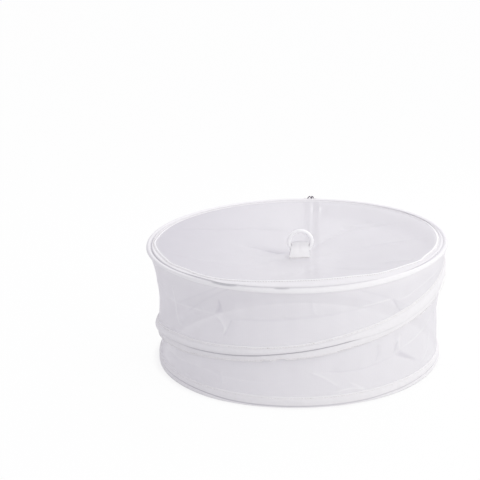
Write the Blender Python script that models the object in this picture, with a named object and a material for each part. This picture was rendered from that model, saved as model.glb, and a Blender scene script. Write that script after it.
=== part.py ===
"""Pop-up mesh food cover: a net drum on sprung wire, with a cloth tab and a pull ring.

Metres, +Z up. The origin is the middle of the circle that the cover stands on. Azimuths are in
degrees from the front (-Y) and grow towards the right (+X). A section's points are pairs of a
radius, or a distance out from the wall, and a height.
"""

import math

import bmesh
import bpy
from mathutils import Vector

# The drum
cover_height = 0.120
rim_radius = 0.150
flare = 0.0075
facets = 60

# Wire, tape and net
wire_radius = 0.001
wire_play = 0.0006
wire_sides = 6
tape_thickness = 0.0007
mesh_thickness = 0.0005
clearance = 0.0003
tuck = 0.003
draw_in = 0.004
least_strip = 0.002
ferrule_wall = 0.0002
ferrule_length = 0.012
ferrule_azimuth = 180.0

# Rim: tape round the wire, its two legs lying inwards as the hem
hem_width = 0.012
hem_rise = 0.0003
hem_grip = 0.004
tunnel_angles = (90.0, 45.0, 0.0, -45.0, -90.0)

# Foot: tape round the wire, its two legs standing up
foot_band_height = 0.010
foot_belly_height = 0.0032
foot_floor_half = 0.0014

# Spiral: tape round the wire, its two legs standing up, with a narrow strip under it
spiral_band_height = 0.009
spiral_belly = 0.0028
spiral_belly_height = 0.0026
spiral_wire_out = 0.0010
spiral_end_gap = 0.0022
strip_drop = 0.006
strip_lap = 0.003
strip_lift = 0.002
tip_length = 0.004
tip_wall = 0.0002

# How high the spiral runs at each azimuth, as shares of the height that is open to it
spiral_shares = (
    (-186.0, 0.000),
    (-165.0, 0.015),
    (-140.0, 0.066),
    (-115.0, 0.135),
    (-90.0, 0.225),
    (-75.0, 0.283),
    (-60.0, 0.332),
    (-45.0, 0.364),
    (-30.0, 0.394),
    (-15.0, 0.430),
    (0.0, 0.474),
    (15.0, 0.532),
    (30.0, 0.593),
    (45.0, 0.667),
    (60.0, 0.742),
    (75.0, 0.820),
    (90.0, 0.882),
    (120.0, 0.948),
    (150.0, 0.987),
    (172.0, 1.000),
)

# Back seam
seam_azimuth = 173.4
seam_split = 0.0008
seam_tape_width = 0.0072
seam_binding_width = 0.0055
seam_edge = 0.0012
seam_lap = 0.0064

# Slack top net: its height at each distance from the middle, as shares of the sag and of the span
net_sag = 0.0190
net_rest_radius = 0.015
net_shares = (
    (0.00, 0.000),
    (0.09, -0.110),
    (0.25, -0.050),
    (0.50, 0.240),
    (0.76, 0.590),
)

# Pull tab and ring
tab_drift = 0.004
tab_half_width = 0.01025
tab_fold_half_width = 0.0087
tab_height = 0.0148
tab_leg_spread = 0.00235
tab_knuckle = 0.0006
tab_foot_depth = 0.0048
tab_foot_thickness = 0.0006
ring_outer_radius = 0.0131
ring_tube_radius = 0.00165
ring_seat = 0.0043
ring_steps = 36
ring_sides = 10

# Closure hook at the rim
hook_wire_radius = 0.00045
hook_width = 0.0032
hook_height = 0.0020
hook_depth = 0.0010
tack_width = 0.0010
tack_thickness = 0.0004
hook_shares = (
    (-1.45, 0.00, 0.0),
    (-0.75, 0.00, 0.0),
    (-0.60, 0.20, 0.2),
    (-0.45, 0.80, 0.7),
    (-0.22, 1.45, 1.1),
    (0.02, 1.60, 1.2),
    (0.14, 1.15, 1.2),
    (0.10, 0.45, 1.1),
    (0.10, 0.10, 0.5),
    (0.25, 0.35, 0.0),
    (0.55, 1.05, 0.0),
    (0.84, 1.38, 0.0),
    (1.15, 1.05, 0.0),
    (1.45, 0.35, 0.0),
    (1.62, 0.00, 0.0),
    (2.25, 0.00, 0.0),
)
tack_shares = (("hook_tack_right", -1.12), ("hook_tack_left", 1.95))

# Closure loop: an elastic cord that lies on the table behind the cover. The points of its route are
# distances along the foot, out from it and up.
cord_radius = 0.00075
loop_route = (
    (-0.0022, 0.0013, 0.0024),
    (-0.0026, 0.0038, 0.0016),
    (-0.0042, 0.0085, 0.0009),
    (-0.0074, 0.0150, 0.0008),
    (-0.0106, 0.0225, 0.0008),
    (-0.0124, 0.0305, 0.0008),
    (-0.0112, 0.0380, 0.0008),
    (-0.0064, 0.0432, 0.0008),
    (0.0000, 0.0450, 0.0008),
    (0.0068, 0.0428, 0.0008),
    (0.0116, 0.0370, 0.0008),
    (0.0124, 0.0290, 0.0008),
    (0.0104, 0.0212, 0.0008),
    (0.0070, 0.0142, 0.0008),
    (0.0040, 0.0080, 0.0009),
    (0.0026, 0.0036, 0.0016),
    (0.0022, 0.0013, 0.0024),
)
loop_steps = 2

# Places that follow from the sizes above
grid_step = 360.0 / facets
foot_radius = rim_radius - flare
tunnel_radius = wire_radius + wire_play
tape_line = tunnel_radius + tape_thickness / 2
tube_radius = tunnel_radius + tape_thickness
slot_gap = mesh_thickness + 2 * clearance
leg_line = (slot_gap + tape_thickness) / 2
leg_face = slot_gap / 2 + tape_thickness
rim_line = rim_radius - tube_radius
rim_level = cover_height - tube_radius
rim_underside = rim_level - tube_radius
hem_level = rim_level + hem_rise
foot_line = foot_radius - tube_radius
foot_wire_level = tape_thickness + clearance + wire_radius
spiral_bulge = spiral_belly + tape_thickness / 2
spiral_wire_up = tape_thickness + 1.5 * clearance + wire_radius
lowest_fold = foot_band_height + 2.5 * clearance
highest_fold = rim_underside - spiral_band_height - least_strip
strip_line_in = leg_face + clearance + tape_thickness / 2
lower_net_in = strip_line_in + tape_thickness / 2 + clearance + mesh_thickness / 2
lowest_strip = foot_band_height + strip_lift + 2 * clearance
over_net = mesh_thickness / 2 + clearance + tape_thickness / 2
net_centre_level = hem_level - net_sag
tab_foot_level = net_centre_level + mesh_thickness / 2 + clearance
tab_pivot_level = tab_foot_level + tab_foot_thickness + clearance + tab_knuckle
ring_line = ring_outer_radius - ring_tube_radius
ring_level = tab_pivot_level + ring_seat + ring_line


def degrees_along(length, radius):
    """The angle that a length spans on a circle."""
    return math.degrees(length / radius)


tape_near = seam_azimuth - degrees_along(seam_edge, rim_radius)
tape_far = tape_near - degrees_along(seam_tape_width, rim_radius)
binding_near = seam_azimuth + degrees_along(seam_edge, rim_radius) / 2
binding_far = binding_near + degrees_along(seam_binding_width, rim_radius)
spiral_head = tape_far - degrees_along(spiral_end_gap, rim_radius)
spiral_tail = binding_far + degrees_along(spiral_end_gap, rim_radius) - 360.0
net_first = seam_azimuth - degrees_along(seam_split, rim_radius) / 2
net_last = seam_azimuth + degrees_along(seam_split, rim_radius) / 2 - 360.0


def clear_scene():
    for thing in list(bpy.data.objects):
        bpy.data.objects.remove(thing, do_unlink=True)


def make_material(name, colour, roughness, metallic=0.0, alpha=1.0):
    finish = bpy.data.materials.new(name)
    finish.use_nodes = True
    shader = finish.node_tree.nodes["Principled BSDF"]
    shader.inputs["Base Color"].default_value = (*colour, 1.0)
    shader.inputs["Roughness"].default_value = roughness
    shader.inputs["Metallic"].default_value = metallic
    shader.inputs["Alpha"].default_value = alpha
    finish.diffuse_color = (*colour, alpha)
    return finish


def make_joint(name, place, parent=None):
    """An empty on a joint's axis, which carries the pieces that move with it."""
    joint = bpy.data.objects.new(name, None)
    bpy.context.collection.objects.link(joint)
    joint.location = Vector(place)
    if parent:
        joint.parent = parent
        joint.location = Vector(place) - world_place(parent)
    return joint


def world_place(joint):
    place = Vector(joint.location)
    while joint.parent:
        joint = joint.parent
        place += joint.location
    return place


def add_object(name, data, finish, joint=None):
    piece = bpy.data.objects.new(name, data)
    bpy.context.collection.objects.link(piece)
    data.materials.append(finish)
    piece.parent = joint
    return piece


def add_solid(name, solid, finish, joint=None):
    """One named piece from a closed mesh in world coordinates, hung on a joint if it moves."""
    data = bpy.data.meshes.new(name)
    if joint:
        bmesh.ops.translate(solid, verts=solid.verts, vec=-world_place(joint))
    solid.to_mesh(data)
    solid.free()
    data.shade_smooth()
    data.set_sharp_from_angle(angle=math.radians(40.0))
    return add_object(name, data, finish, joint)


def at(azimuth, radius, height):
    """A point on the faceted circle of a radius, so that every ring shares the same flats."""
    half = grid_step / 2
    flat = math.cos(math.radians(half)) / math.cos(math.radians(azimuth % grid_step - half))
    turn = math.radians(azimuth)
    return Vector((radius * flat * math.sin(turn), -radius * flat * math.cos(turn), height))


def stations(first, last):
    """Azimuths from first down to last, with those of the facets that lie between them."""
    step = grid_step
    inner = [k * step for k in range(-2 * facets, 2 * facets) if last < k * step < first]
    return [first] + inner[::-1] + [last]


def all_round():
    return [k * grid_step for k in range(facets)]


def smooth(table, place):
    """The value at a place, on a smooth curve through a table of (place, value)."""
    last = len(table) - 1
    here = next(k for k in range(last) if place <= table[k + 1][0] or k == last - 1)

    def slope(k):
        before, after = table[max(k - 1, 0)], table[min(k + 1, last)]
        return (after[1] - before[1]) / (after[0] - before[0])

    (start, low), (end, high) = table[here], table[here + 1]
    width = end - start
    t = (place - start) / width
    rise = t * t * (3 - 2 * t)
    leave = (t**3 - 2 * t * t + t) * width * slope(here)
    arrive = (t**3 - t * t) * width * slope(here + 1)
    return low * (1 - rise) + high * rise + leave + arrive


def sweep(rings, closed):
    """A closed mesh through rings of points, joined end to end or capped."""
    solid = bmesh.new()
    rows = [[solid.verts.new(point) for point in ring] for ring in rings]
    pairs = list(zip(rows, rows[1:]))
    if closed:
        pairs.append((rows[-1], rows[0]))
    else:
        solid.faces.new(rows[0])
        solid.faces.new(rows[-1])
    for one, two in pairs:
        for k in range(len(one)):
            after = (k + 1) % len(one)
            solid.faces.new((one[k], one[after], two[after], two[k]))
    bmesh.ops.recalc_face_normals(solid, faces=solid.faces)
    return solid


def offsets(path, thickness, closed=False):
    """The two sides of a tape that follows a path in its section plane."""
    points = [Vector(point) for point in path]
    left, right = [], []
    for k, here in enumerate(points):
        into = out = None
        if closed or k > 0:
            into = (here - points[k - 1]).normalized()
        if closed or k + 1 < len(points):
            out = (points[(k + 1) % len(points)] - here).normalized()
        into = into or out
        out = out or into
        way = (into + out).normalized()
        side = Vector((-way.y, way.x))
        reach = thickness / 2 / side.dot(Vector((-out.y, out.x)))
        left.append(here + side * reach)
        right.append(here - side * reach)
    return left, right


def tape_section(path):
    left, right = offsets(path, tape_thickness)
    return left + right[::-1]


def section_at(azimuth, section, line, level):
    return [at(azimuth, line + out, level + up) for out, up in section]


def wire_at(azimuth, line, level, radius):
    turns = [2 * math.pi * k / wire_sides for k in range(wire_sides)]
    return [at(azimuth, line + radius * math.cos(t), level + radius * math.sin(t)) for t in turns]


def sheet_at(azimuth, rows, thickness):
    """The section of a thin sheet that stands up through rows of (radius, height)."""
    outer = [at(azimuth, radius + thickness / 2, height) for radius, height in rows]
    inner = [at(azimuth, radius - thickness / 2, height) for radius, height in rows]
    return outer + inner[::-1]


def cone(height):
    """The drum's outer radius at a height."""
    return foot_radius + (rim_radius - foot_radius) * height / cover_height


def fold_level(azimuth):
    """The height of the spiral band's lower edge."""
    share = smooth(spiral_shares, azimuth)
    return lowest_fold + (highest_fold - lowest_fold) * share


def band_line(azimuth):
    """The radius of the wall where it enters the spiral band."""
    return cone(fold_level(azimuth) + spiral_belly_height) - spiral_bulge


def upper_wall_rows(azimuth):
    line = band_line(azimuth)
    mouth = fold_level(azimuth) + spiral_band_height
    top = rim_underside - clearance
    start = mouth + clearance
    drawn = (line + rim_line) / 2 - draw_in * (top - start) / cover_height
    return [(line, mouth - tuck), (line, start), (drawn, (start + top) / 2), (rim_line, top)]


def strip_rows(azimuth):
    line = band_line(azimuth) - strip_line_in
    fold = fold_level(azimuth)
    return [(line, max(fold - strip_drop, lowest_strip)), (line, fold + strip_lap)]


def lower_wall_rows(azimuth):
    """From inside the foot band, in behind the spiral's narrow strip, and up to its tape."""
    line = band_line(azimuth) - lower_net_in
    top = fold_level(azimuth) + spiral_band_height - tuck - clearance
    knee = strip_rows(azimuth)[0][1] - clearance
    start = foot_band_height + clearance
    drawn = (foot_line + line) / 2 - draw_in * (knee - start) / cover_height
    low = foot_band_height - tuck
    below = [(foot_line, low), (foot_line, start), (drawn, (start + knee) / 2)]
    return below + [(line, knee), (line, top)]


def shifted(rows, out):
    return [(radius + out, height) for radius, height in rows]


def rim_path():
    """The path of the rim's tape: in along the upper leg, round the wire, and back."""
    high = hem_rise + leg_line
    low = hem_rise - leg_line
    reach_high = math.sqrt(tape_line**2 - high**2)
    reach_low = math.sqrt(tape_line**2 - low**2)
    turns = [math.radians(angle) for angle in tunnel_angles]
    round_wire = [(tape_line * math.cos(t), tape_line * math.sin(t)) for t in turns]
    hem = tube_radius - hem_width
    return [(hem, high), (-reach_high, high), *round_wire, (-reach_low, low), (hem, low)]


def foot_path():
    floor = tape_thickness / 2
    one_side = [
        (leg_line, foot_band_height),
        (tape_line, foot_belly_height),
        (foot_floor_half, floor),
    ]
    return [(-out, up) for out, up in one_side] + one_side[::-1]


def spiral_path():
    """The path of the spiral band's tape, from its inner leg round the wire to its outer leg."""
    floor = tape_thickness / 2
    return [
        (-leg_line, spiral_band_height),
        (-leg_line, strip_lap),
        (-0.2 * leg_line, floor + 0.25 * spiral_belly_height),
        (spiral_wire_out, floor),
        (0.76 * spiral_belly, floor + 0.20 * spiral_belly_height),
        (spiral_belly, spiral_belly_height),
        (0.88 * spiral_belly, 0.6 * spiral_band_height),
        (leg_line, spiral_band_height),
    ]


def turned_band(section, line, level):
    return sweep([section_at(a, section, line, level) for a in all_round()], closed=True)


def hoop_wire(line, level):
    half = degrees_along(ferrule_length / 2 + clearance, line)
    places = stations(ferrule_azimuth - half, ferrule_azimuth + half - 360.0)
    return sweep([wire_at(a, line, level, wire_radius) for a in places], closed=False)


def hoop_ferrule(line, level):
    half = degrees_along(ferrule_length / 2, line)
    places = stations(ferrule_azimuth + half, ferrule_azimuth - half)
    radius = wire_radius + ferrule_wall
    return sweep([wire_at(a, line, level, radius) for a in places], closed=False)


def spiral_run(first, last, radius):
    """A stretch of the spiral wire, or of what sits on it."""
    rings = []
    for azimuth in stations(first, last):
        line = band_line(azimuth) + spiral_wire_out
        level = fold_level(azimuth) + spiral_wire_up
        rings.append(wire_at(azimuth, line, level, radius))
    return sweep(rings, closed=False)


def build_foot(wire_finish, tape_finish):
    level = foot_wire_level
    add_solid("bottom_hoop_wire", hoop_wire(foot_line, level), wire_finish)
    add_solid("bottom_hoop_ferrule", hoop_ferrule(foot_line, level), wire_finish)
    band = turned_band(tape_section(foot_path()), foot_line, 0.0)
    add_solid("bottom_casing", band, tape_finish)


def build_spiral(wire_finish, tip_finish, tape_finish):
    tip_turn = degrees_along(tip_length, foot_radius)
    gap_turn = degrees_along(clearance, foot_radius)
    first, last = spiral_head - tip_turn, spiral_tail + tip_turn
    tip_radius = wire_radius + tip_wall
    add_solid("spiral_wire_tip_head", spiral_run(spiral_head, first, tip_radius), tip_finish)
    add_solid("spiral_wire_tip_tail", spiral_run(last, spiral_tail, tip_radius), tip_finish)
    wire = spiral_run(first - gap_turn, last + gap_turn, wire_radius)
    add_solid("spiral_wire", wire, wire_finish)
    section = tape_section(spiral_path())
    places = stations(spiral_head, spiral_tail)
    rings = [section_at(a, section, band_line(a), fold_level(a)) for a in places]
    add_solid("spiral_casing", sweep(rings, closed=False), tape_finish)
    tall = [a for a in places if fold_level(a) > lowest_strip + clearance]
    strip = sweep([sheet_at(a, strip_rows(a), tape_thickness) for a in tall], closed=False)
    add_solid("spiral_lower_tape", strip, tape_finish)


def build_walls(net_finish):
    places = stations(net_first, net_last)
    upper = [sheet_at(a, upper_wall_rows(a), mesh_thickness) for a in places]
    add_solid("upper_wall_mesh", sweep(upper, closed=False), net_finish)
    tall = [a for a in places if fold_level(a) > lowest_strip + clearance]
    lower = [sheet_at(a, lower_wall_rows(a), mesh_thickness) for a in tall]
    add_solid("lower_wall_mesh", sweep(lower, closed=False), net_finish)


def build_back_seam(tape_finish, net_finish):
    def tape_rows(azimuth):
        upper = upper_wall_rows(azimuth)
        return shifted(lower_wall_rows(azimuth)[1:4] + [upper[0], upper[-1]], over_net)

    def binding_rows(azimuth):
        upper = upper_wall_rows(azimuth - 360.0)
        low = (upper[0][0], foot_band_height + clearance)
        return shifted([low] + upper, over_net)

    def lap_rows(_):
        top = foot_line + leg_face
        out = clearance + tape_thickness / 2
        low = foot_band_height - seam_lap
        return shifted([(foot_line + tube_radius, low), (top, foot_band_height)], out)

    def strip(near, far, rows_at):
        places = (far, near)
        return sweep([sheet_at(a, rows_at(a), tape_thickness) for a in places], closed=False)

    add_solid("seam_tape", strip(tape_near, tape_far, tape_rows), tape_finish)
    add_solid("seam_binding", strip(binding_near, binding_far, binding_rows), net_finish)
    lap = strip(tape_near, tape_far, lap_rows)
    add_solid("seam_tape_end", lap, tape_finish)


def build_closure_loop(finish):
    """An elastic cord whose two ends are sewn in under the end of the seam tape."""
    middle = (tape_near + tape_far) / 2
    outward = at(middle, 1.0, 0.0)
    along = at(middle + 90.0, 1.0, 0.0)
    start = at(middle, foot_radius, 0.0)
    route = [start + along * a + outward * b + Vector((0.0, 0.0, c)) for a, b, c in loop_route]
    line = []
    for k in range((len(route) - 1) * loop_steps + 1):
        place = k / loop_steps
        line.append([smooth([(i, p[axis]) for i, p in enumerate(route)], place) for axis in range(3)])
    add_object("closure_loop", poly_tube("closure_loop", line, cord_radius), finish)


def poly_tube(name, line, radius):
    """A round tube with filled ends along a line of points."""
    curve = bpy.data.curves.new(name, "CURVE")
    curve.dimensions = "3D"
    spline = curve.splines.new("POLY")
    spline.points.add(len(line) - 1)
    for point, place in zip(spline.points, line):
        point.co = (*place, 1.0)
    curve.bevel_depth = radius
    curve.bevel_resolution = 2
    curve.use_fill_caps = True
    return curve


def build_rim(joint, wire_finish, tape_finish):
    wire, ferrule = hoop_wire(rim_line, rim_level), hoop_ferrule(rim_line, rim_level)
    add_solid("top_hoop_wire", wire, wire_finish, joint)
    add_solid("top_hoop_ferrule", ferrule, wire_finish, joint)
    band = turned_band(tape_section(rim_path()), rim_line, rim_level)
    add_solid("top_casing", band, tape_finish, joint)


def build_top_net(joint, finish):
    """The round net: flat where it is held in the hem, hanging slack inside it."""
    hem_edge = rim_radius - hem_width
    slope_start = hem_edge - clearance
    span = slope_start - net_rest_radius
    inside = [
        (net_rest_radius + span * out, net_centre_level + net_sag * up) for out, up in net_shares
    ]
    outer = [(slope_start, hem_level), (hem_edge + hem_grip, hem_level)]
    upper = [(radius, height + mesh_thickness / 2) for radius, height in inside + outer]
    lower = [(radius, height - mesh_thickness / 2) for radius, height in inside + outer]
    profile = upper + lower[::-1]
    solid = bmesh.new()
    rows = [[solid.verts.new(at(a, r, h)) for r, h in profile] for a in all_round()]
    for one, two in zip(rows, rows[1:] + rows[:1]):
        for k in range(len(profile) - 1):
            solid.faces.new((one[k], one[k + 1], two[k + 1], two[k]))
    solid.faces.new([row[0] for row in rows])
    solid.faces.new([row[-1] for row in rows])
    bmesh.ops.recalc_face_normals(solid, faces=solid.faces)
    add_solid("top_mesh", solid, finish, joint)


def build_closure_hook(joint, wire_finish, thread_finish):
    """A hook of thin wire in two arches, one behind the other, tacked down on the rim's crest."""
    middle = at(seam_azimuth, rim_line, cover_height + clearance + hook_wire_radius)
    along = at(seam_azimuth + 90.0, 1.0, 0.0)
    up = Vector((0.0, 0.0, 1.0))
    out = at(seam_azimuth, 1.0, 0.0)
    base = world_place(joint)
    line = []
    for side, rise, depth in hook_shares:
        place = along * (side * hook_width) + up * (rise * hook_height) + out * (depth * hook_depth)
        line.append(middle + place - base)
    curve = poly_tube("closure_hook", line, hook_wire_radius)
    add_object("closure_hook", curve, wire_finish, joint)
    reach = hook_wire_radius + clearance + tack_thickness / 2
    path = [(-reach, -hook_wire_radius), (-reach, reach), (reach, reach), (reach, -hook_wire_radius)]
    left, right = offsets(path, tack_thickness)
    section = left + right[::-1]
    for name, side in tack_shares:
        rings = []
        for end in (-tack_width / 2, tack_width / 2):
            foot = middle + along * (side * hook_width + end)
            rings.append([foot + out * across + up * rise for across, rise in section])
        add_solid(name, sweep(rings, closed=False), thread_finish, joint)


def build_tab(lid, joint, finish):
    half = tab_foot_depth / 2
    low, high = tab_foot_level, tab_foot_level + tab_foot_thickness
    rings = []
    for side in (-tab_half_width, tab_half_width):
        corners = ((-half, low), (half, low), (half, high), (-half, high))
        rings.append([Vector((tab_drift + side, y, z)) for y, z in corners])
    add_solid("tab_foot", sweep(rings, closed=False), finish, lid)

    base = tape_thickness / 2 - tab_knuckle
    top = tab_height - tape_thickness / 2
    spread = tab_leg_spread
    one_side = [
        (tab_knuckle / 2, base),
        (spread / 4, ring_seat / 4),
        (spread, 0.9 * ring_seat),
        (spread, top - spread),
        (0.72 * spread, top - spread / 4),
    ]
    path = [*one_side, (0.0, top)] + [(-y, z) for y, z in one_side[::-1]]
    outer, inner = offsets(path, tape_thickness, closed=True)
    rings = []
    for (_, rise), one, two in zip(path, outer, inner):
        share = max(rise, 0.0) / top
        half = tab_half_width + (tab_fold_half_width - tab_half_width) * share
        corners = ((-half, one), (half, one), (half, two), (-half, two))
        rings.append([Vector((tab_drift + x, p.x, tab_pivot_level + p.y)) for x, p in corners])
    add_solid("pull_tab", sweep(rings, closed=True), finish, joint)


def build_pull_ring(joint, finish):
    rings = []
    for k in range(ring_steps):
        turn = 2 * math.pi * k / ring_steps
        ring = []
        for i in range(ring_sides):
            t = 2 * math.pi * i / ring_sides
            radius = ring_line + ring_tube_radius * math.cos(t)
            y = ring_tube_radius * math.sin(t)
            x, z = radius * math.sin(turn), radius * math.cos(turn)
            ring.append(Vector((tab_drift + x, y, ring_level + z)))
        rings.append(ring)
    add_solid("pull_ring", sweep(rings, closed=True), finish, joint)


def main():
    clear_scene()
    tape = make_material("white_tape", (0.90, 0.90, 0.91), 0.75)
    net = make_material("white_net", (0.88, 0.88, 0.90), 0.80, alpha=0.6)
    spring_steel = make_material("spring_steel", (0.55, 0.56, 0.58), 0.35, metallic=1.0)
    dark_wire = make_material("dark_wire", (0.16, 0.13, 0.17), 0.40, metallic=1.0)
    ring_plastic = make_material("ring_plastic", (0.93, 0.93, 0.94), 0.25)
    tip_plastic = make_material("tip_plastic", (0.85, 0.85, 0.86), 0.50)
    elastic = make_material("elastic_cord", (0.70, 0.69, 0.73), 0.85)
    thread = make_material("white_thread", (0.85, 0.85, 0.88), 0.70)

    lid = make_joint("lid_slide", (0.0, 0.0, cover_height))
    tab = make_joint("tab_axis", (tab_drift, 0.0, tab_pivot_level), lid)
    ring = make_joint("ring_axis", (tab_drift, 0.0, ring_level), tab)

    build_foot(spring_steel, tape)
    build_spiral(spring_steel, tip_plastic, tape)
    build_walls(net)
    build_back_seam(tape, net)
    build_closure_loop(elastic)
    build_rim(lid, spring_steel, tape)
    build_top_net(lid, net)
    build_closure_hook(lid, dark_wire, thread)
    build_tab(lid, tab, tape)
    build_pull_ring(ring, ring_plastic)


main()
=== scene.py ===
"""Dresses the pop-up net food cover: nets, tapes, stitches, tab, ring and the stage it stands on.

Azimuths are in degrees from the front (-Y) and grow towards the right (+X). Tables of the drum's
own shape hold pairs of an azimuth and a value in millimetres.
"""

import math

import bmesh
import bpy
import numpy as np
from bpy.props import FloatProperty, FloatVectorProperty, PointerProperty
from mathutils import Matrix, Vector


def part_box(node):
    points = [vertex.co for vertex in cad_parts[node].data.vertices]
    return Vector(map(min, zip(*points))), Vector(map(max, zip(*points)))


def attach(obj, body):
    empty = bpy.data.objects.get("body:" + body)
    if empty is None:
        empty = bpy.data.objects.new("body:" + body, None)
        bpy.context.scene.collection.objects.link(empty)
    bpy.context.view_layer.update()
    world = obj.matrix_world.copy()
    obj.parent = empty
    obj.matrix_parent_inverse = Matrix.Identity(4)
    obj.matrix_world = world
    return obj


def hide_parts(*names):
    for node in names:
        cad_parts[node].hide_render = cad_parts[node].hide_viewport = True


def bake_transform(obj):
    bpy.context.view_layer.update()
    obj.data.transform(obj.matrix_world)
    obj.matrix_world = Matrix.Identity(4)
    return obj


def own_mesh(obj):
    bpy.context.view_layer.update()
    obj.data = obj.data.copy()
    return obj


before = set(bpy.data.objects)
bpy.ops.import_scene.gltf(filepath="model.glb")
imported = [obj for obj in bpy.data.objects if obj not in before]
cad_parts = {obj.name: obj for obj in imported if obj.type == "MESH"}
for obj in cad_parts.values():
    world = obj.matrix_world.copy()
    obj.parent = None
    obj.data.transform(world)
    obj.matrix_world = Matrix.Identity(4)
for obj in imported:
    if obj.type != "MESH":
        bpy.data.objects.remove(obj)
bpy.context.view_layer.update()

bl_info = {
    "name": "Pop-up Net Food Cover",
    "version": (1, 0, 0),
    "blender": (4, 5, 0),
    "location": "View3D > Sidebar > Food Cover",
    "description": "Dresses a pop-up food cover in net, tape and thread, with its tab and ring",
    "category": "Object",
}

seed = np.random.default_rng(7)
upward = np.array([0.0, 0.0, 1.0])


def pairs(*numbers):
    """A table of pairs, from their numbers in one row."""
    return np.array(numbers, dtype=float).reshape(-1, 2)


# The spiral's height at each azimuth, as shares of the height that is open to it
spiral_shares = pairs(
    -186, 0, -165, 0.015, -140, 0.066, -115, 0.135, -90, 0.225, -75, 0.283, -60, 0.332, -45, 0.364,
    -30, 0.394, -15, 0.43, 0, 0.474, 15, 0.532, 30, 0.593, 45, 0.667, 60, 0.742, 75, 0.82,
    90, 0.882, 120, 0.948, 150, 0.987, 172, 1,
)
# The slack top net's height from its middle to the hem, as shares of its sag
sag_shares = pairs(0, 0, 0.05, -0.035, 0.12, -0.065, 0.25, -0.025, 0.5, 0.24, 0.76, 0.59, 1, 1)
# The hem's inner lip: its radius and height
lip_radius = pairs(
    -180, 141, -150, 141.5, -120, 141, -99, 140.5, -89, 141.2, -79, 138.8, -68, 137.2, -59, 138.1,
    -50, 136.2, -40, 138.2, -33, 139, -25, 137.6, -15, 135.6, -3, 134, 9, 134, 18, 134.2,
    24, 134.4, 32, 136.6, 41, 136.2, 47, 136, 57, 138.2, 62, 136.6, 72, 137.4, 82, 138.4,
    92, 139.6, 101, 140.8, 110, 142, 125, 142.6, 150, 141.6, 180, 141,
)
lip_height = pairs(
    -180, 118.2, -90, 118.3, -50, 118.5, -30, 119.1, -15, 120.2, 0, 121.1, 18, 121.2, 32, 120.2,
    46, 119.6, 60, 118.9, 90, 118.4, 180, 118.2,
)
# The lowest and the highest point of the roll round the rim's wire
rim_underside = pairs(
    -180, 115.4, -90, 115.6, -65, 116, -50, 115.6, -40, 114.8, -20, 114, 0, 113.5, 16, 113.1,
    30, 113.6, 40, 114.1, 50, 115, 62, 115.7, 90, 115.6, 180, 115.4,
)
rim_crest = pairs(-180, 120, -90, 119.8, -50, 119.3, 0, 119.2, 50, 119.3, 90, 119.8, 180, 120)
# Radius of the sewn groove between the roll and the hem
groove_radius = pairs(
    -180, 145.3, -65, 144.9, -50, 145.4, -40, 146.6, -30, 147.9, 0, 147.4, 20, 147, 30, 146.2,
    40, 145.2, 60, 144.4, 90, 145, 180, 145.3,
)
# Places where the rim's roll gapes away from its hem: middle, half length, depth, painted shadow
rim_gapes = ((-26.3, 5.2, 1.5, 0.42), (-5.3, 2.9, 1.3, 0.24))
# How far the spiral's roll hangs below the fold
roll_low = pairs(
    -186, -0.3, -75, -0.9, -51, -0.7, -45, -0.4, -37, -0.1, -24, 0.1, -13, -0.4, -8, -0.8, 0, -0.9,
    17, -0.9, 22, -0.6, 27, 0.2, 33, 1.1, 38, 1.8, 50, 1.8, 65, 1.5, 90, 0.9, 120, 0.3, 172, 0,
)
# How far the roll at the foot stands out, and how high the dark crease runs on its band
foot_out = pairs(
    -180, 0, -85, 0, -55, 0.9, -36, 1.8, -20, 1.1, 0, 0.4, 22, 1.6, 42, 2.3, 58, 1.2, 85, 0.2,
    180, 0,
)
foot_crease = pairs(
    -180, 3.6, -75, 4.2, -54, 4, -38, 2.9, -25, 1.5, 0, 0.8, 24, 1.1, 38, 2.3, 60, 3, 90, 3.4,
    180, 3.6,
)
# How high the spiral band's top edge stands over the fold, and how thick its roll is
band_top = pairs(
    -186, 9.2, -65, 9.6, -52, 10.2, -45, 9.3, -37, 9.2, -24, 8.9, -13, 8.3, 0, 7.8, 11, 8.1, 22, 9,
    33, 9.3, 46, 9.8, 60, 10.1, 90, 9.6, 172, 9.2,
)
band_belly = pairs(-186, 1, 18, 1, 32, 0.84, 60, 0.82, 90, 0.9, 172, 1)
# The spiral's narrow strip: how far out from the wall it lies, and how far it drops
strip_out = pairs(
    -186, -1, -70, -0.4, -45, 0, -15, 0.5, 14, 0.6, 24, 1.1, 33, 1.6, 90, 1.4, 172, 0.2,
)
strip_reach = pairs(
    -186, 4, -100, 5.5, -52, 7.2, -37, 6.3, -24, 6.2, -13.8, 6.4, -12.6, 5.2, -10.2, 6.3,
    -8.8, 6.3, -7.6, 5, -5, 4.9, -4.2, 6.4, 0, 6.7, 11, 7.3, 22, 6.5, 33, 6.4, 46, 6.7, 56, 7.3,
    75, 6.6, 120, 6, 172, 6,
)
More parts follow.
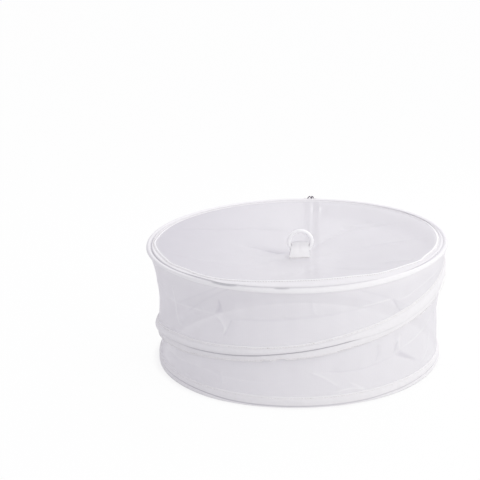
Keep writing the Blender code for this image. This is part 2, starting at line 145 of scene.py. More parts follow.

# Folds in the walls: route of azimuths and heights, rise in mm (a ridge stands out, a valley goes
# in), half widths in mm above and below the line, painted shading (shade below 0, highlight above
# 0), and the shading's width where it isn't usual
upper_folds = (
    ((-74, 92, -68, 89, -61, 84.4, -54.3, 83.2), 0.88, 4, 4, 0.23),
    ((-54.3, 83.2, -44.5, 84.7, -36.7, 85.2, -32, 84.6), 0.96, 4, 5, 0.27),
    ((-55.9, 99, -55.5, 92, -54.9, 82.6, -54.5, 70.6, -52.9, 63, -50.5, 62), 0.96, 3, 3, 0.36),
    ((-30.4, 101, -30.1, 94.4, -31.2, 86), -0.7, 3, 3, -0.3),
    ((-32, 84.6, -30.4, 81.3, -28.4, 73.1, -29.5, 66.6), 1.1, 3, 3, 0.36),
    ((-25.2, 82.5, -27.7, 70.5, -29.2, 63), -0.8, 3, 3, -0.3),
    (
        (-25.2, 83.2, -17.6, 84.9, -10.1, 85.6, 0.8, 88.4, 8, 89.6, 15.4, 90.7, 23.1, 92.2,
         31.5, 93.7, 36.8, 94.5),
        -1.5, 9, 7, -0.11,
    ),
    ((37, 95.2, 39.7, 86.4, 41.8, 79), -0.8, 2.5, 2.5, -0.4),
    ((37.3, 94.9, 42.2, 88.8, 48, 81), 0.6, 4, 2, 0.14),
    ((70, 108, 63, 104, 56.4, 100.7, 49.5, 97.4, 43.7, 93.8, 38.5, 92.8), 1, 5, 5, 0.2),
    ((5.4, 104, 5.7, 98, 6.6, 91), 0.56, 3, 3, 0.14),
    ((-100, 70, -92, 74, -84, 80, -74, 92), 0.8, 5, 5, 0.14),
    ((-150, 82, -135, 78, -118, 80, -104, 74), -1.1, 7, 7, -0.09),
    ((-165, 60, -158, 70, -150, 82, -146, 94), 0.88, 4, 4, 0.14),
    ((-53, 84, -42, 97.6, -31.2, 111.2, -27, 117), -0.1, 2, 2, -0.16, 0.9),
    ((-49.5, 74.4, -37.1, 96.4, -27.1, 111, -22, 117), -0.1, 2, 2, -0.16, 0.9),
    ((20.2, 113.4, 32.2, 101, 45.3, 84.8), -0.1, 2, 2, -0.16, 0.9),
    ((-27, 82.2, -17.6, 83.6, -10.1, 84.3, 0.8, 87.1, 8, 88.3, 18, 90), 0, 2, 2, -0.22, 0.7),
    ((23.1, 93.2, 31.5, 94.9, 37.2, 96), 0, 2, 2, 0.3, 0.8),
)
lower_folds = (
    (
        (-74, 24, -64.7, 23.6, -55, 24, -43.7, 25.2, -36.8, 23.9, -31, 22.2, -23, 22, -12, 22.5),
        -0.85, 5, 4, 0.12,
    ),
    ((-31.4, 28, -31, 22, -30.4, 14), 0.59, 3, 3, 0.15),
    ((3.8, 34.4, 8, 29.7, 11.8, 23.7, 15.5, 17), 1.1, 4, 3, 0.3),
    (
        (7, 35.4, 9.9, 33.6, 15.7, 31.2, 21.7, 30.6, 28, 31.4, 35, 33.6, 40.6, 36.2),
        -1.7, 8, 7, -0.2,
    ),
    ((41.6, 57, 41.8, 50, 42.1, 40.4), 1.3, 2.5, 2.5, 0.36),
    ((40.8, 49, 40.2, 37), -1.5, 2.5, 1.5, -0.5),
    ((42.4, 40.2, 48, 30, 54.2, 20.2), 1.2, 4, 2, 0.15),
    ((40.4, 36, 47, 28.6, 54.2, 20.2), -1.4, 2, 4, -0.2),
    ((55.6, 16, 61.6, 23, 63.8, 35, 64.6, 44), 1, 3, 4, 0.2),
    ((42.5, 40.8, 48.5, 44.7, 55.4, 48.9, 61.2, 53.9, 66.5, 59.5), 1.2, 5, 5, 0.26),
    ((19.4, 20.2, 22.3, 15.9, 25.4, 11.2), 0.77, 3, 3, 0.25),
    ((13.4, 12.6, 19.8, 14, 25.4, 11.6), 0.94, 3, 3, 0.35),
    ((31.4, 53, 32, 42, 30.8, 33.8), -0.77, 3, 3, -0.25),
    ((66, 60, 78, 52, 92, 44, 106, 36, 116, 24), -1.4, 7, 7, -0.1),
    ((92, 76, 97, 60, 95, 44), 0.94, 4, 4, 0.15),
    ((118, 20.4, 128, 21.1, 137, 20.2, 146, 20.4, 158, 19), -1.4, 6, 4, -0.4),
    ((150, 84, 140, 70, 126, 58, 116, 40), 1, 5, 5, 0.15),
)
# Flat places between the folds: corners and painted shade
upper_facets = (
    ((37.2, 95, 48, 81, 41.6, 79), -0.1),
    ((-30.4, 101, -29.2, 88, -32.6, 86), -0.3),
)
lower_facets = (
    ((42.4, 40, 54.2, 20.2, 40.4, 36), -0.32),
)
# Folds in the slack top net, their routes in mm from the middle, painted shading as on the walls;
# the one that does not rise is a broad painted shadow beside the tab
top_folds = (
    ((-132, 44, -101, 63.5, -59.5, 77.5, -36.3, 80.6, -6, 78.6), -1.5, 5, 8, -0.14, 2.2),
    ((13, 26, 24.6, 48, 40.6, 62, 56.6, 68.8, 77.7, 70.1, 98, 67.6), -1.5, 5, 7, -0.14, 2),
    ((46.3, 73.8, 62.5, 81, 80, 84), -0.8, 4, 4, -0.24),
    ((-2, 2, -8, 8, -22, 24, -40, 35, -62, 40), -2, 6, 10, -0.2, 1.6),
    ((18, 14, -2, 17, -12, 22, -22, 27, -36, 31), 0, 8, 8, -0.55, 6),
    ((84, -48, 99, -59, 116, -74), 1.2, 5, 4, 0.18),
    ((30, -30, 62, -62, 92, -92), -1.2, 9, 9, -0.21),
    ((16, -4, 44.6, 14, 84.8, 18.5, 130, 7), 0.9, 6, 6, 0.06),
    ((-14, -8, -48, -26, -92, -34, -126, -30), 0.8, 7, 7, 0),
    ((6, -12, 4, -48, -10, -92), 0.5, 8, 8, 0),
)

# The elastic loop's route: along the foot, out from it, and up
loop_route = (
    -0.0022, 0.0013, 0.0024, -0.0026, 0.0038, 0.0016, -0.0042, 0.0085, 0.0009,
    -0.0074, 0.015, 0.0008, -0.0106, 0.0225, 0.0008, -0.0124, 0.0305, 0.0008,
    -0.0112, 0.038, 0.0008, -0.0064, 0.0432, 0.0008, 0, 0.045, 0.0008, 0.0068, 0.0428, 0.0008,
    0.0116, 0.037, 0.0008, 0.0124, 0.029, 0.0008, 0.0104, 0.0212, 0.0008, 0.007, 0.0142, 0.0008,
    0.004, 0.008, 0.0009, 0.0026, 0.0036, 0.0016, 0.0022, 0.0013, 0.0024,
)
# The bent hook's route, as shares of its half width, height and depth
hook_route = (
    -1.45, -0.3, 0, -0.75, -0.12, 0, -0.6, 0.15, 0.2, -0.45, 0.62, 0.7, -0.22, 1.12, 1.1,
    0.02, 1.26, 1.2, 0.14, 1.02, 1.2, 0.12, 0.4, 1.1, 0.1, 0.1, 0.5, 0.25, 0.35, 0, 0.55, 1.05, 0,
    0.84, 1.38, 0, 1.15, 1.05, 0, 1.45, 0.35, 0, 1.6, -0.12, 0, 2.25, -0.32, 0,
)
# The tab's outline from its sewn edge to its crest: half depth in mm, and share of its height
tab_outline = pairs(
    3.5, -0.055, 3.24, 0.015, 3.02, 0.1, 2.72, 0.3, 2.48, 0.5, 2.36, 0.66, 2.14, 0.82, 1.35, 0.94,
    0, 1,
)

seam_azimuth = 173.4
seam_tape_span = (169.75, 172.5)
binding_span = (173.75, 176.4)
cloth_thickness = 0.0006
stitch_rise, stitch_gap, stitch_skew = 0.0002, 0.30, 0.05
white = (1.0, 1.0, 1.0)


def length_prop(name, text, value):
    return FloatProperty(name=name, description=text, default=value, unit="LENGTH", precision=4)


def colour_prop(name, text, value):
    return FloatVectorProperty(
        name=name, description=text, default=value, size=3, min=0.0, max=1.0, subtype="COLOR"
    )


class FoodCoverSizes(bpy.types.PropertyGroup):
    rim_radius: length_prop("Rim Radius", "Outer radius of the rim", 0.150)
    flare: length_prop("Flare", "How much wider the rim is than the foot", 0.0075)
    height: length_prop("Height", "Height of the rim's top above the table", 0.120)
    roll: length_prop("Roll", "Radius of the tape rolled round a hoop", 0.0023)
    foot_band: length_prop("Foot Band", "Height of the tape at the foot", 0.010)
    spiral_band: length_prop("Spiral Band", "Height of the tape on the spiral", 0.009)
    draw_in: length_prop("Draw In", "How far a wall as tall as the cover is drawn in", 0.004)
    net_hole: length_prop("Net Hole", "Distance from one hole of the net to the next", 0.0010)
    stitch: length_prop("Stitch", "Length of one stitch", 0.0026)
    sag: length_prop("Sag", "How far the top net hangs below its hem", 0.0190)
    ring_radius: length_prop("Ring Radius", "Radius of the middle of the ring's bar", 0.01145)
    ring_bar: length_prop("Ring Bar", "Radius of the ring's bar", 0.00165)


class FoodCoverFinish(bpy.types.PropertyGroup):
    tape: colour_prop("Tape", "Colour of the woven tape", (0.85, 0.842, 0.855))
    net: colour_prop("Net", "Colour of the net's yarn", (0.90, 0.890, 0.914))
    thread: colour_prop("Thread", "Colour of the sewing thread", (0.87, 0.855, 0.85))
    ring: colour_prop("Ring", "Colour of the ring's plastic", (0.97, 0.97, 0.975))
    hook: colour_prop("Hook", "Colour of the bent wire hook", (0.16, 0.13, 0.17))
    steel: colour_prop("Steel", "Colour of the spring wire", (0.55, 0.56, 0.58))
    elastic: colour_prop("Elastic", "Colour of the elastic cord", (0.70, 0.69, 0.73))
    cover: FloatProperty(
        name="Net Cover",
        description="Share of the net that yarn fills",
        default=0.87,
        min=0.0,
        max=1.0,
        subtype="FACTOR",
    )


class FoodCoverStage(bpy.types.PropertyGroup):
    key: FloatProperty(name="Key", description="Power of the lamp on the right", default=6.0)
    fill: FloatProperty(name="Fill", description="Power of the lamp above", default=1.6)
    sky: FloatProperty(name="Sky", description="Light from all round", default=0.74)
    floor: colour_prop("Floor", "Colour of the table", (0.95, 0.95, 0.95))


def curve_value(table, places):
    """Values at places on a smooth curve through a table of pairs."""
    xs, ys = table.T
    slopes = np.empty_like(ys)
    slopes[1:-1] = (ys[2:] - ys[:-2]) / (xs[2:] - xs[:-2])
    slopes[0] = (ys[1] - ys[0]) / (xs[1] - xs[0])
    slopes[-1] = (ys[-1] - ys[-2]) / (xs[-1] - xs[-2])
    at = np.clip(np.asarray(places, dtype=float), xs[0], xs[-1])
    k = np.clip(np.searchsorted(xs, at, side="right") - 1, 0, len(xs) - 2)
    width = xs[k + 1] - xs[k]
    t = (at - xs[k]) / width
    leave = (t**3 - 2 * t * t + t) * width * slopes[k]
    arrive = (t**3 - t * t) * width * slopes[k + 1]
    return ys[k] * (1 - eased(t)) + ys[k + 1] * eased(t) + leave + arrive


def eased(share):
    """A share from 0 to 1 that starts and ends gently."""
    return share * share * (3 - 2 * share)


def in_metres(table, places):
    return curve_value(table, places) / 1000


def ramp(value):
    """A value kept between 0 and 1."""
    return np.clip(value, 0.0, 1.0)


def bell(value, middle, width):
    return np.exp(-(((value - middle) / width) ** 2))


def wander(azimuth, size, *waves):
    """A small steady wander round the drum, the same each time."""
    turn = np.radians(azimuth)
    return size * sum(np.sin(n * turn + phase) for n, phase in waves) / len(waves)


def place(azimuth, radius, height):
    turn = np.radians(azimuth)
    return np.stack(np.broadcast_arrays(radius * np.sin(turn), -radius * np.cos(turn), height), -1)


def spread_azimuths(first, last, fine=0.4, coarse=1.5, front=78):
    """Azimuths from first to last, closer together at the front."""
    out = [first]
    while out[-1] < last - 1e-6:
        here = abs((out[-1] + 180.0) % 360.0 - 180.0)
        out.append(min(last, out[-1] + (fine if here < front else coarse)))
    return np.array(out)


def smooth_line(points, steps=6):
    """More points on a smooth line through the given ones."""
    at = np.linspace(0, len(points) - 1, (len(points) - 1) * steps + 1)
    order = np.arange(len(points))
    columns = [curve_value(np.stack([order, column], -1), at) for column in np.transpose(points)]
    return np.stack(columns, -1)


def lengths_along(line):
    steps = np.linalg.norm(np.diff(line, axis=0), axis=1)
    return np.concatenate([[0.0], np.cumsum(steps)])


class Drum:
    """The drum's own shape, worked out once from its sizes."""

    def __init__(self, sizes):
        self.sizes = sizes
        self.rim = sizes.rim_radius
        self.foot = sizes.rim_radius - sizes.flare
        self.height = sizes.height
        self.rim_line = self.rim - sizes.roll
        self.foot_line = self.foot - sizes.roll
        self.low = sizes.foot_band + 0.00075
        self.high = sizes.height - 2 * sizes.roll - sizes.spiral_band - 0.002

    def cone(self, height):
        return self.foot + (self.rim - self.foot) * height / self.height

    def fold(self, azimuth):
        """Height of the fold that the spiral's tape is sewn along."""
        return self.low + (self.high - self.low) * curve_value(spiral_shares, azimuth)

    def line(self, azimuth, middle=0.0028, inside=0.00315):
        """Radius of the wall at that fold, inside the roll of the tape."""
        return self.cone(self.fold(azimuth) + middle) - inside

    def degree(self, height):
        """Millimetres to a degree of azimuth on the wall."""
        return math.radians(1.0) * self.cone(height) * 1000


def grid_mesh(name, points, u, v, wrap_u=False, wrap_v=False, shade=None):
    """A smooth mesh from rows and columns of points, a cloth map in metres, and painted shade and
    highlight.

    u runs along the columns and v along the rows; either may have a value for each point.
    """
    rows, cols = points.shape[:2]
    i, j = np.indices((rows - (not wrap_v), cols - (not wrap_u))).reshape(2, -1)
    i2, j2 = (i + 1) % rows, (j + 1) % cols
    faces = np.stack([i * cols + j, i * cols + j2, i2 * cols + j2, i2 * cols + j], -1)
    mesh = bpy.data.meshes.new(name)
    mesh.from_pydata(points.reshape(-1, 3).tolist(), [], faces.tolist())
    flat = np.empty((len(i), 4, 2))
    for k, (col, row) in enumerate(((j, i), (j + 1, i), (j + 1, i + 1), (j, i + 1))):
        spot = np.minimum(row, rows - 1), np.minimum(col, cols - 1)
        flat[:, k, 0] = u[col] if u.ndim == 1 else u[spot]
        flat[:, k, 1] = v[row] if v.ndim == 1 else v[spot]
    mesh.uv_layers.new(name="cloth").data.foreach_set("uv", flat.ravel())
    if shade is not None:
        tone = mesh.attributes.new("tone", "FLOAT", "POINT")
        tone.data.foreach_set("value", np.asarray(shade, dtype=np.float32).ravel())
    mesh.shade_smooth()
    mesh.update()
    return mesh


def finish_faces(mesh, rings=(), top_up=False):
    """Fills the given rings of points, and turns the faces outward, or up."""
    work = bmesh.new()
    work.from_mesh(mesh)
    work.verts.ensure_lookup_table()
    for ring in rings:
        work.faces.new([work.verts[k] for k in ring])
    bmesh.ops.recalc_face_normals(work, faces=work.faces)
    if top_up and sum(face.normal.z for face in work.faces) < 0:
        bmesh.ops.reverse_faces(work, faces=work.faces)
    work.to_mesh(mesh)
    work.free()


def cap_ends(mesh, rows, cols):
    finish_faces(mesh, (range(cols), range((rows - 1) * cols, rows * cols)))


def add_piece(name, mesh, look, node=None, body="base", folds=False):
    """Puts a piece on its body, in place of the part's own node if one is named.

    A piece that folds gets a mesh of its own.
    """
    piece = bpy.data.objects.new(name, mesh)
    bpy.context.collection.objects.link(piece)
    mesh.materials.append(look)
    if body:
        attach(piece, body)
    if node:
        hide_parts(node)
    if folds:
        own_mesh(piece)
    return piece


def thicken(piece, thickness):
    """Gives a sheet of cloth its thickness, on its inner side."""
    wall = piece.modifiers.new("thickness", "SOLIDIFY")
    wall.thickness = thickness
    wall.offset = -1.0


def sections_of(azimuths, points):
    """One closed section for each azimuth, from points that may change round the drum."""
    ones = np.ones_like(azimuths)
    return np.stack([np.stack([a * ones, b * ones], -1) for a, b in points], axis=1)


def rounded(section, tone):
    """Closed sections with their corners cut, and the painted shading to go with twice the points.
    """
    after = np.roll(section, -1, axis=1)
    both = np.stack([0.75 * section + 0.25 * after, 0.25 * section + 0.75 * after], axis=2)
    return both.reshape(len(section), -1, 2), np.repeat(tone, 2, axis=1)


def band_mesh(name, azimuths, sections, shade, closed):
    """A tape swept round the drum through one closed section of (radius, height) per azimuth."""
    points = place(azimuths[:, None], sections[..., 0], sections[..., 1])
    radius = float(sections[..., 0].mean())
    middle = sections[len(sections) // 2]
    u = lengths_along(np.concatenate([middle, middle[:1]]))
    v = np.radians(azimuths) * radius
    if closed:
        v = np.append(v, v[0] + 2 * math.pi * radius)
    mesh = grid_mesh(name, points, u, v, wrap_u=True, wrap_v=closed, shade=shade)
    if closed:
        finish_faces(mesh)
    else:
        cap_ends(mesh, *points.shape[:2])
    return mesh


def tube(name, line, radius, look, node, body="base", sides=10, folds=False):
    """A round bar with filled ends along a line of points."""
    line = np.asarray(line, dtype=float)
    ways = np.gradient(line, axis=0)
    ways /= np.linalg.norm(ways, axis=1)[:, None]
    normal = upward if abs(ways[0][2]) < 0.9 else np.array([1.0, 0.0, 0.0])
    turns = np.linspace(0, 2 * math.pi, sides, endpoint=False)[:, None]
    rings = []
    for point, way in zip(line, ways):
        normal = normal - way * (normal @ way)
        normal = normal / np.linalg.norm(normal)
        side = np.cross(way, normal)
        rings.append(point + radius * (normal * np.cos(turns) + side * np.sin(turns)))
    u = np.linspace(0, 2 * math.pi * radius, sides + 1)
    mesh = grid_mesh(name, np.array(rings), u, lengths_along(line), wrap_u=True)
    cap_ends(mesh, len(line), sides)
    return add_piece(name, mesh, look, node, body, folds)


def near_line(points, line):
    """For each point: distance to a line of points, side of it, and how far along it, 0 to 1."""
    best = np.full(len(points), 1e9)
    side, along = np.zeros(len(points)), np.zeros(len(points))
    lengths = np.linalg.norm(np.diff(line, axis=0), axis=1)
    start = 0.0
    for one, two, length in zip(line, line[1:], lengths):
        way = (two - one) / length
        gap = points - one
        t = np.clip(gap @ way, 0.0, length)
        distance = np.linalg.norm(gap - t[:, None] * way, axis=1)
        closer = distance < best
        best = np.where(closer, distance, best)
        side = np.where(closer, np.sign(way[0] * gap[:, 1] - way[1] * gap[:, 0]), side)
        along = np.where(closer, (start + t) / lengths.sum(), along)
        start += length
    return best, side, along


def inside(points, corners, soft=0.8):
    """1 inside a triangle, falling off softly at its edges."""
    centre = corners.mean(axis=0)
    least = np.full(len(points), 1e9)
    for one, two in zip(corners, np.roll(corners, -1, axis=0)):
        way = (two - one) / np.linalg.norm(two - one)
        normal = np.array([-way[1], way[0]])
        if (centre - one) @ normal < 0:
            normal = -normal
        least = np.minimum(least, (points - one) @ normal)
    return ramp(least / soft + 0.5)


def folded(points, folds, facets=(), blunt=0.35, line_width=0.75):
    """Rise in mm that folds give to points of a flat cloth, and painted shade and highlight on
    folds and facets.
    """
    rise, tone = np.zeros(len(points)), np.zeros(len(points))
    for route, depth, above, below, shade, *width in folds:
        distance, side, along = near_line(points, smooth_line(route))
        ends = 0.25 + 0.75 * eased(ramp(np.minimum(along, 1 - along) / 0.18))
        soft = np.sqrt(distance**2 + blunt**2) - blunt
        rise += depth * ends * np.exp(-soft / np.where(side > 0, above, below))
        tone += shade * ends * bell(distance, 0.0, width[0] if width else line_width)
    for corners, shade in facets:
        tone += shade * inside(points, corners)
    return rise, tone


def laid_flat(folds, stretch=1.0):
    """Folds or facets with their routes as points in mm."""
    return [(np.reshape(route, (-1, 2)) * (stretch, 1.0), *rest) for route, *rest in folds]


def plain_mesh(name, points, faces):
    mesh = bpy.data.meshes.new(name)
    mesh.from_pydata(points, [], faces)
    mesh.shade_smooth()
    return mesh


def stitch_row(name, points, outward, look, body="base", width=0.00042, folds=False):
    """Stitches laid end to end along a line of points, each a small rounded bar."""
    turns = np.linspace(0, 2 * math.pi, 6, endpoint=False)[:, None]
    verts, faces = [], []
    for one, two, out in zip(points, points[1:], outward):
        length = np.linalg.norm(two - one)
        way = (two - one) / length
        out = out - way * (out @ way)
        out = out / np.linalg.norm(out)
        across = np.cross(way, out)
        skew = seed.normal(0, stitch_skew)
        base = len(turns) * len(verts)
        steps = np.linspace(0, 1, 5)
        for t in steps:
            thick = width * math.sin(math.pi * (0.12 + 0.76 * t)) ** 0.6
            reach = length * (stitch_gap / 2 + (1 - stitch_gap) * t)
            middle = one + way * reach + across * skew * length * (t - 0.5)
            lift = stitch_rise * math.sin(math.pi * t)
            round_it = across * np.cos(turns) * thick + out * (np.sin(turns) * thick * 0.7 + lift)
            verts.append(middle + round_it)
        ring = base + np.arange(len(steps) * len(turns)).reshape(len(steps), -1)
        after = np.roll(ring, -1, axis=1)
        sides = np.stack([ring[:-1], after[:-1], after[1:], ring[1:]], -1)
        faces += [*sides.reshape(-1, 4).tolist(), ring[0, ::-1].tolist(), ring[-1].tolist()]
    mesh = plain_mesh(name, np.concatenate(verts).tolist(), faces)
    return add_piece(name, mesh, look, body=body, folds=folds)


def needle_holes(name, points, outward, look, share, body="base", size=0.00034, folds=False):
    """Small dark discs of painted shadow where the needle went through, some plainer than others.
    """
    turns = np.linspace(0, 2 * math.pi, 7, endpoint=False)[:, None]
    verts, faces = [], []
    for point, out in zip(points, outward):
        if seed.random() > share:
            continue
        out = out / np.linalg.norm(out)
        one = np.cross(out, upward)
        if np.linalg.norm(one) < 0.2:
            one = np.cross(out, [0.0, 1.0, 0.0])
        one = one / np.linalg.norm(one)
        two = np.cross(out, one)
        radius = size * (0.6 + 0.6 * seed.random())
        base = len(verts)
        verts.append(point + out * 0.00012)
        verts += list(point + radius * (one * np.cos(turns) + two * np.sin(turns)))
        count = len(turns)
        faces += [(base, base + 1 + s, base + 1 + (s + 1) % count) for s in range(count)]
    return add_piece(name, plain_mesh(name, verts, faces), look, body=body, folds=folds)


class Nodes:
    """A short way to write a tree of shader nodes."""

    def __init__(self, tree):
        self.tree = tree

    def node(self, kind, **values):
        node = self.tree.nodes.new(kind)
        for key, value in values.items():
            setattr(node, key, value)
        return node

    def link(self, source, target):
        self.tree.links.new(source, target)

    def put(self, socket, value):
        if isinstance(value, tuple):
            socket.default_value = (*value, 1.0)
        elif isinstance(value, (int, float)):
            socket.default_value = value
        else:
            self.link(value, socket)

    def math(self, operation, *values):
        node = self.node("ShaderNodeMath", operation=operation)
        for socket, value in zip(node.inputs, values):
            self.put(socket, value)
        return node.outputs[0]

    def blend(self, share, one, two):
        node = self.node("ShaderNodeMix", data_type="RGBA")
        for socket, value in ((0, share), (6, one), (7, two)):
            self.put(node.inputs[socket], value)
        return node.outputs[2]

    def span(self, value, low, high, to_low=0.0, to_high=1.0):
        node = self.node("ShaderNodeMapRange")
        for key, number in (
            ("Value", value),
            ("From Min", low),
            ("From Max", high),
            ("To Min", to_low),
            ("To Max", to_high),
        ):
            self.put(node.inputs[key], number)
        return node.outputs[0]

    def seen_directly(self):
        """1 for rays that show the surface itself, 0 for those that only light things."""
        rays = self.node("ShaderNodeLightPath").outputs
        return self.math("MAXIMUM", rays["Is Camera Ray"], rays["Is Glossy Ray"])


class Shader(Nodes):
    """A material's nodes."""

    def __init__(self, name, roughness, metallic=0.0):
        self.material = bpy.data.materials.new(name)
        self.material.use_nodes = True
        super().__init__(self.material.node_tree)
        self.base = self.tree.nodes["Principled BSDF"]
        self.base.inputs["Roughness"].default_value = roughness
        self.base.inputs["Metallic"].default_value = metallic

    def cloth(self):
        """Distance along the cloth's two ways, in metres."""
        parts = self.node("ShaderNodeSeparateXYZ")
        self.link(self.node("ShaderNodeUVMap", uv_map="cloth").outputs[0], parts.inputs[0])
        return parts.outputs[0], parts.outputs[1]

    def place(self):
        return self.node("ShaderNodeTexCoord").outputs["Object"]

    def noise(self, scale, detail):
        node = self.node("ShaderNodeTexNoise")
        node.inputs["Scale"].default_value = scale
        node.inputs["Detail"].default_value = detail
        self.link(self.place(), node.inputs["Vector"])
        return node.outputs["Fac"]

    def wave(self, scale, where, **kind):
        node = self.node("ShaderNodeTexWave", **kind)
        node.inputs["Scale"].default_value = scale
        self.link(where, node.inputs["Vector"])
        return node.outputs["Fac"]

    def rows(self, distance, pitch, phase=0.0):
        """A wave from 0 to 1 with one crest in each pitch."""
        turn = self.math("MULTIPLY_ADD", distance, 2 * math.pi / pitch, phase)
        return self.math("MULTIPLY_ADD", self.math("SINE", turn), 0.5, 0.5)

    def mottled(self, value, low, high, colour, dim, bright):
        """A colour that goes from dim to bright as a value goes from low to high."""
        return self.blend(self.span(value, low, high), scaled(colour, dim), scaled(colour, bright))

    # Painted shade and highlight that each mesh carries at its points
    def tone(self):
        return self.node("ShaderNodeAttribute", attribute_name="tone").outputs["Fac"]

    def with_painted_shading(self, cloth, tone, dark, painted_shade, full, light):
        """Paints shade on a cloth as its shading goes to -1, and highlight up to white as it goes
        to full.
        """
        cloth = self.blend(self.span(tone, -1.0, 0.0, dark, 0.0), cloth, painted_shade)
        return self.blend(self.span(tone, 0.0, full, 0.0, light), cloth, white)

    def bump(self, height, distance, strength):
        node = self.node("ShaderNodeBump")
        node.inputs["Strength"].default_value = strength
        node.inputs["Distance"].default_value = distance
        self.link(height, node.inputs["Height"])
        self.link(node.outputs[0], self.base.inputs["Normal"])

    def colour(self, value):
        self.link(value, self.base.inputs["Base Color"])

    def roughness(self, value, low, high, to_low, to_high):
        self.link(self.span(value, low, high, to_low, to_high), self.base.inputs["Roughness"])

    def mix(self, share, one, two):
        node = self.node("ShaderNodeMixShader")
        self.put(node.inputs[0], share)
        self.link(one.outputs[0], node.inputs[1])
        self.link(two.outputs[0], node.inputs[2])
        return node

    def surface(self, shader):
        self.link(shader.outputs[0], self.tree.nodes["Material Output"].inputs["Surface"])


def scaled(colour, share):
    return tuple(min(1.0, c * share) for c in colour)


def tape_material(finish):
    """Plain woven tape: fine ribs across, a soft nap, slight unevenness, and painted shade and
    highlight.
    """
    look = Shader("woven_tape", 0.78)
    look.base.inputs["Sheen Weight"].default_value = 0.12
    look.base.inputs["Sheen Roughness"].default_value = 0.5
    across, along = look.cloth()
    ribs, picks = look.rows(along, 0.0009), look.rows(across, 0.0006)
    weave = look.math("MULTIPLY", ribs, look.math("MULTIPLY_ADD", picks, 0.6, 0.4))
    uneven = look.noise(260.0, 4.0)
    mixed = look.math("MULTIPLY_ADD", weave, 0.35, look.math("MULTIPLY", uneven, 0.65))
    cloth = look.mottled(mixed, 0.25, 0.75, finish.tape, 0.965, 1.03)
    patches = look.span(look.noise(38.0, 2.0), 0.35, 0.7, 0.0, 0.12)
    cloth = look.blend(patches, cloth, scaled(finish.tape, 0.9))
    # Painted shade towards a dark violet grey, and painted highlight towards white
    look.colour(look.with_painted_shading(cloth, look.tone(), 0.8, (0.20, 0.19, 0.24), 1.0, 0.9))
    look.roughness(uneven, 0.3, 0.7, 0.70, 0.86)
    look.bump(look.math("ADD", weave, look.math("MULTIPLY", uneven, 0.5)), 0.00012, 0.45)
    return look.material


def net_material(name, finish, pitch, cover, lines=0.12):
    """Fine knitted net: columns of yarn with small holes between, which light passes through."""
    look = Shader(name, 0.72)
    look.base.inputs["Sheen Weight"].default_value = 0.15
    across, along = look.cloth()
    hole = look.math("MULTIPLY", look.rows(across, pitch), look.rows(along, pitch * 1.15))
    broad = look.rows(across, 0.0021, 0.4)
    soft = look.noise(60.0, 3.0)
    cloth = look.mottled(soft, 0.3, 0.7, finish.net, 0.985, 1.01)
    stripes = look.span(broad, 0.0, 1.0, 0.0, 0.12 * lines)
    cloth = look.blend(stripes, cloth, scaled(finish.net, 0.82))
    tone = look.tone()
    # Painted shade towards violet grey and painted highlight to white; less see-through where
    # painted
    cloth = look.with_painted_shading(cloth, tone, 0.42, (0.30, 0.28, 0.36), 0.6, 1.0)
    look.colour(cloth)
    look.bump(look.math("ADD", hole, look.math("MULTIPLY", soft, 0.2)), 0.0002, 0.12)

    gaps = look.math("MULTIPLY_ADD", hole, 0.6 * (1.0 - cover), 0.85 * (1.0 - cover))
    for share in (
        look.span(broad, 0.0, 1.0, 1 - 0.14 * lines, 1 + 0.14 * lines),
        look.span(soft, 0.3, 0.7, 0.96, 1.04),
        look.span(look.math("ABSOLUTE", tone), 0.0, 1.0, 1.0, 0.25),
    ):
        gaps = look.math("MULTIPLY", gaps, share)
    yarn = look.math("SUBTRACT", 1.0, look.math("MINIMUM", gaps, 0.96))
    glow = look.node("ShaderNodeBsdfTranslucent")
    look.link(cloth, glow.inputs["Color"])
    lit = look.mix(0.15, look.base, glow)
    look.surface(look.mix(yarn, look.node("ShaderNodeBsdfTransparent"), lit))
    return look.material


def thread_material(finish):
    """Spun thread with a twist along each stitch."""
    look = Shader("sewing_thread", 0.65)
    twist = look.wave(900.0, look.place(), bands_direction="DIAGONAL")
    cloth = look.mottled(look.noise(300.0, 2.0), 0.35, 0.65, finish.thread, 0.9, 1.12)
    look.colour(look.blend(look.math("MULTIPLY", twist, 0.25), cloth, scaled(finish.thread, 0.7)))
    look.bump(twist, 0.00008, 0.6)
    return look.material


def needle_material():
    """Painted shadow in a needle's hole: a dull brown, patchy between darker and lighter."""
    look = Shader("needle_hole", 0.9)
    patches = look.span(look.noise(500.0, 2.0), 0.3, 0.7)
    look.colour(look.blend(patches, (0.36, 0.30, 0.27), (0.58, 0.52, 0.48)))
    return look.material


def ring_material(finish):
    """Moulded plastic: milky and glossy, with faint flow marks."""
    look = Shader("ring_plastic", 0.42)
    look.base.inputs["Coat Weight"].default_value = 0.2
    look.base.inputs["Coat Roughness"].default_value = 0.2
    flow = look.noise(180.0, 3.0)
    look.colour(look.mottled(flow, 0.3, 0.7, finish.ring, 0.96, 1.03))
    look.roughness(flow, 0.3, 0.7, 0.28, 0.40)
    look.bump(look.noise(420.0, 2.0), 0.00004, 0.4)
    return look.material


def metal_material(name, colour, roughness, grain):
    """Drawn wire: fine lines and a slight bloom."""
    look = Shader(name, roughness, 1.0)
    lines = look.noise(grain, 4.0)
    look.colour(look.mottled(lines, 0.3, 0.7, colour, 0.85, 1.15))
    look.roughness(lines, 0.3, 0.7, roughness * 0.8, roughness * 1.25)
    look.bump(lines, 0.00003, 0.4)
    return look.material


def tip_material():
    """Dipped plastic on the ends of the spring wire."""
    look = Shader("tip_plastic", 0.5)
    grain = look.noise(400.0, 3.0)
    look.colour(look.blend(look.span(grain, 0.3, 0.7), (0.80, 0.80, 0.81), (0.88, 0.88, 0.89)))
    look.bump(grain, 0.00003, 0.4)
    return look.material


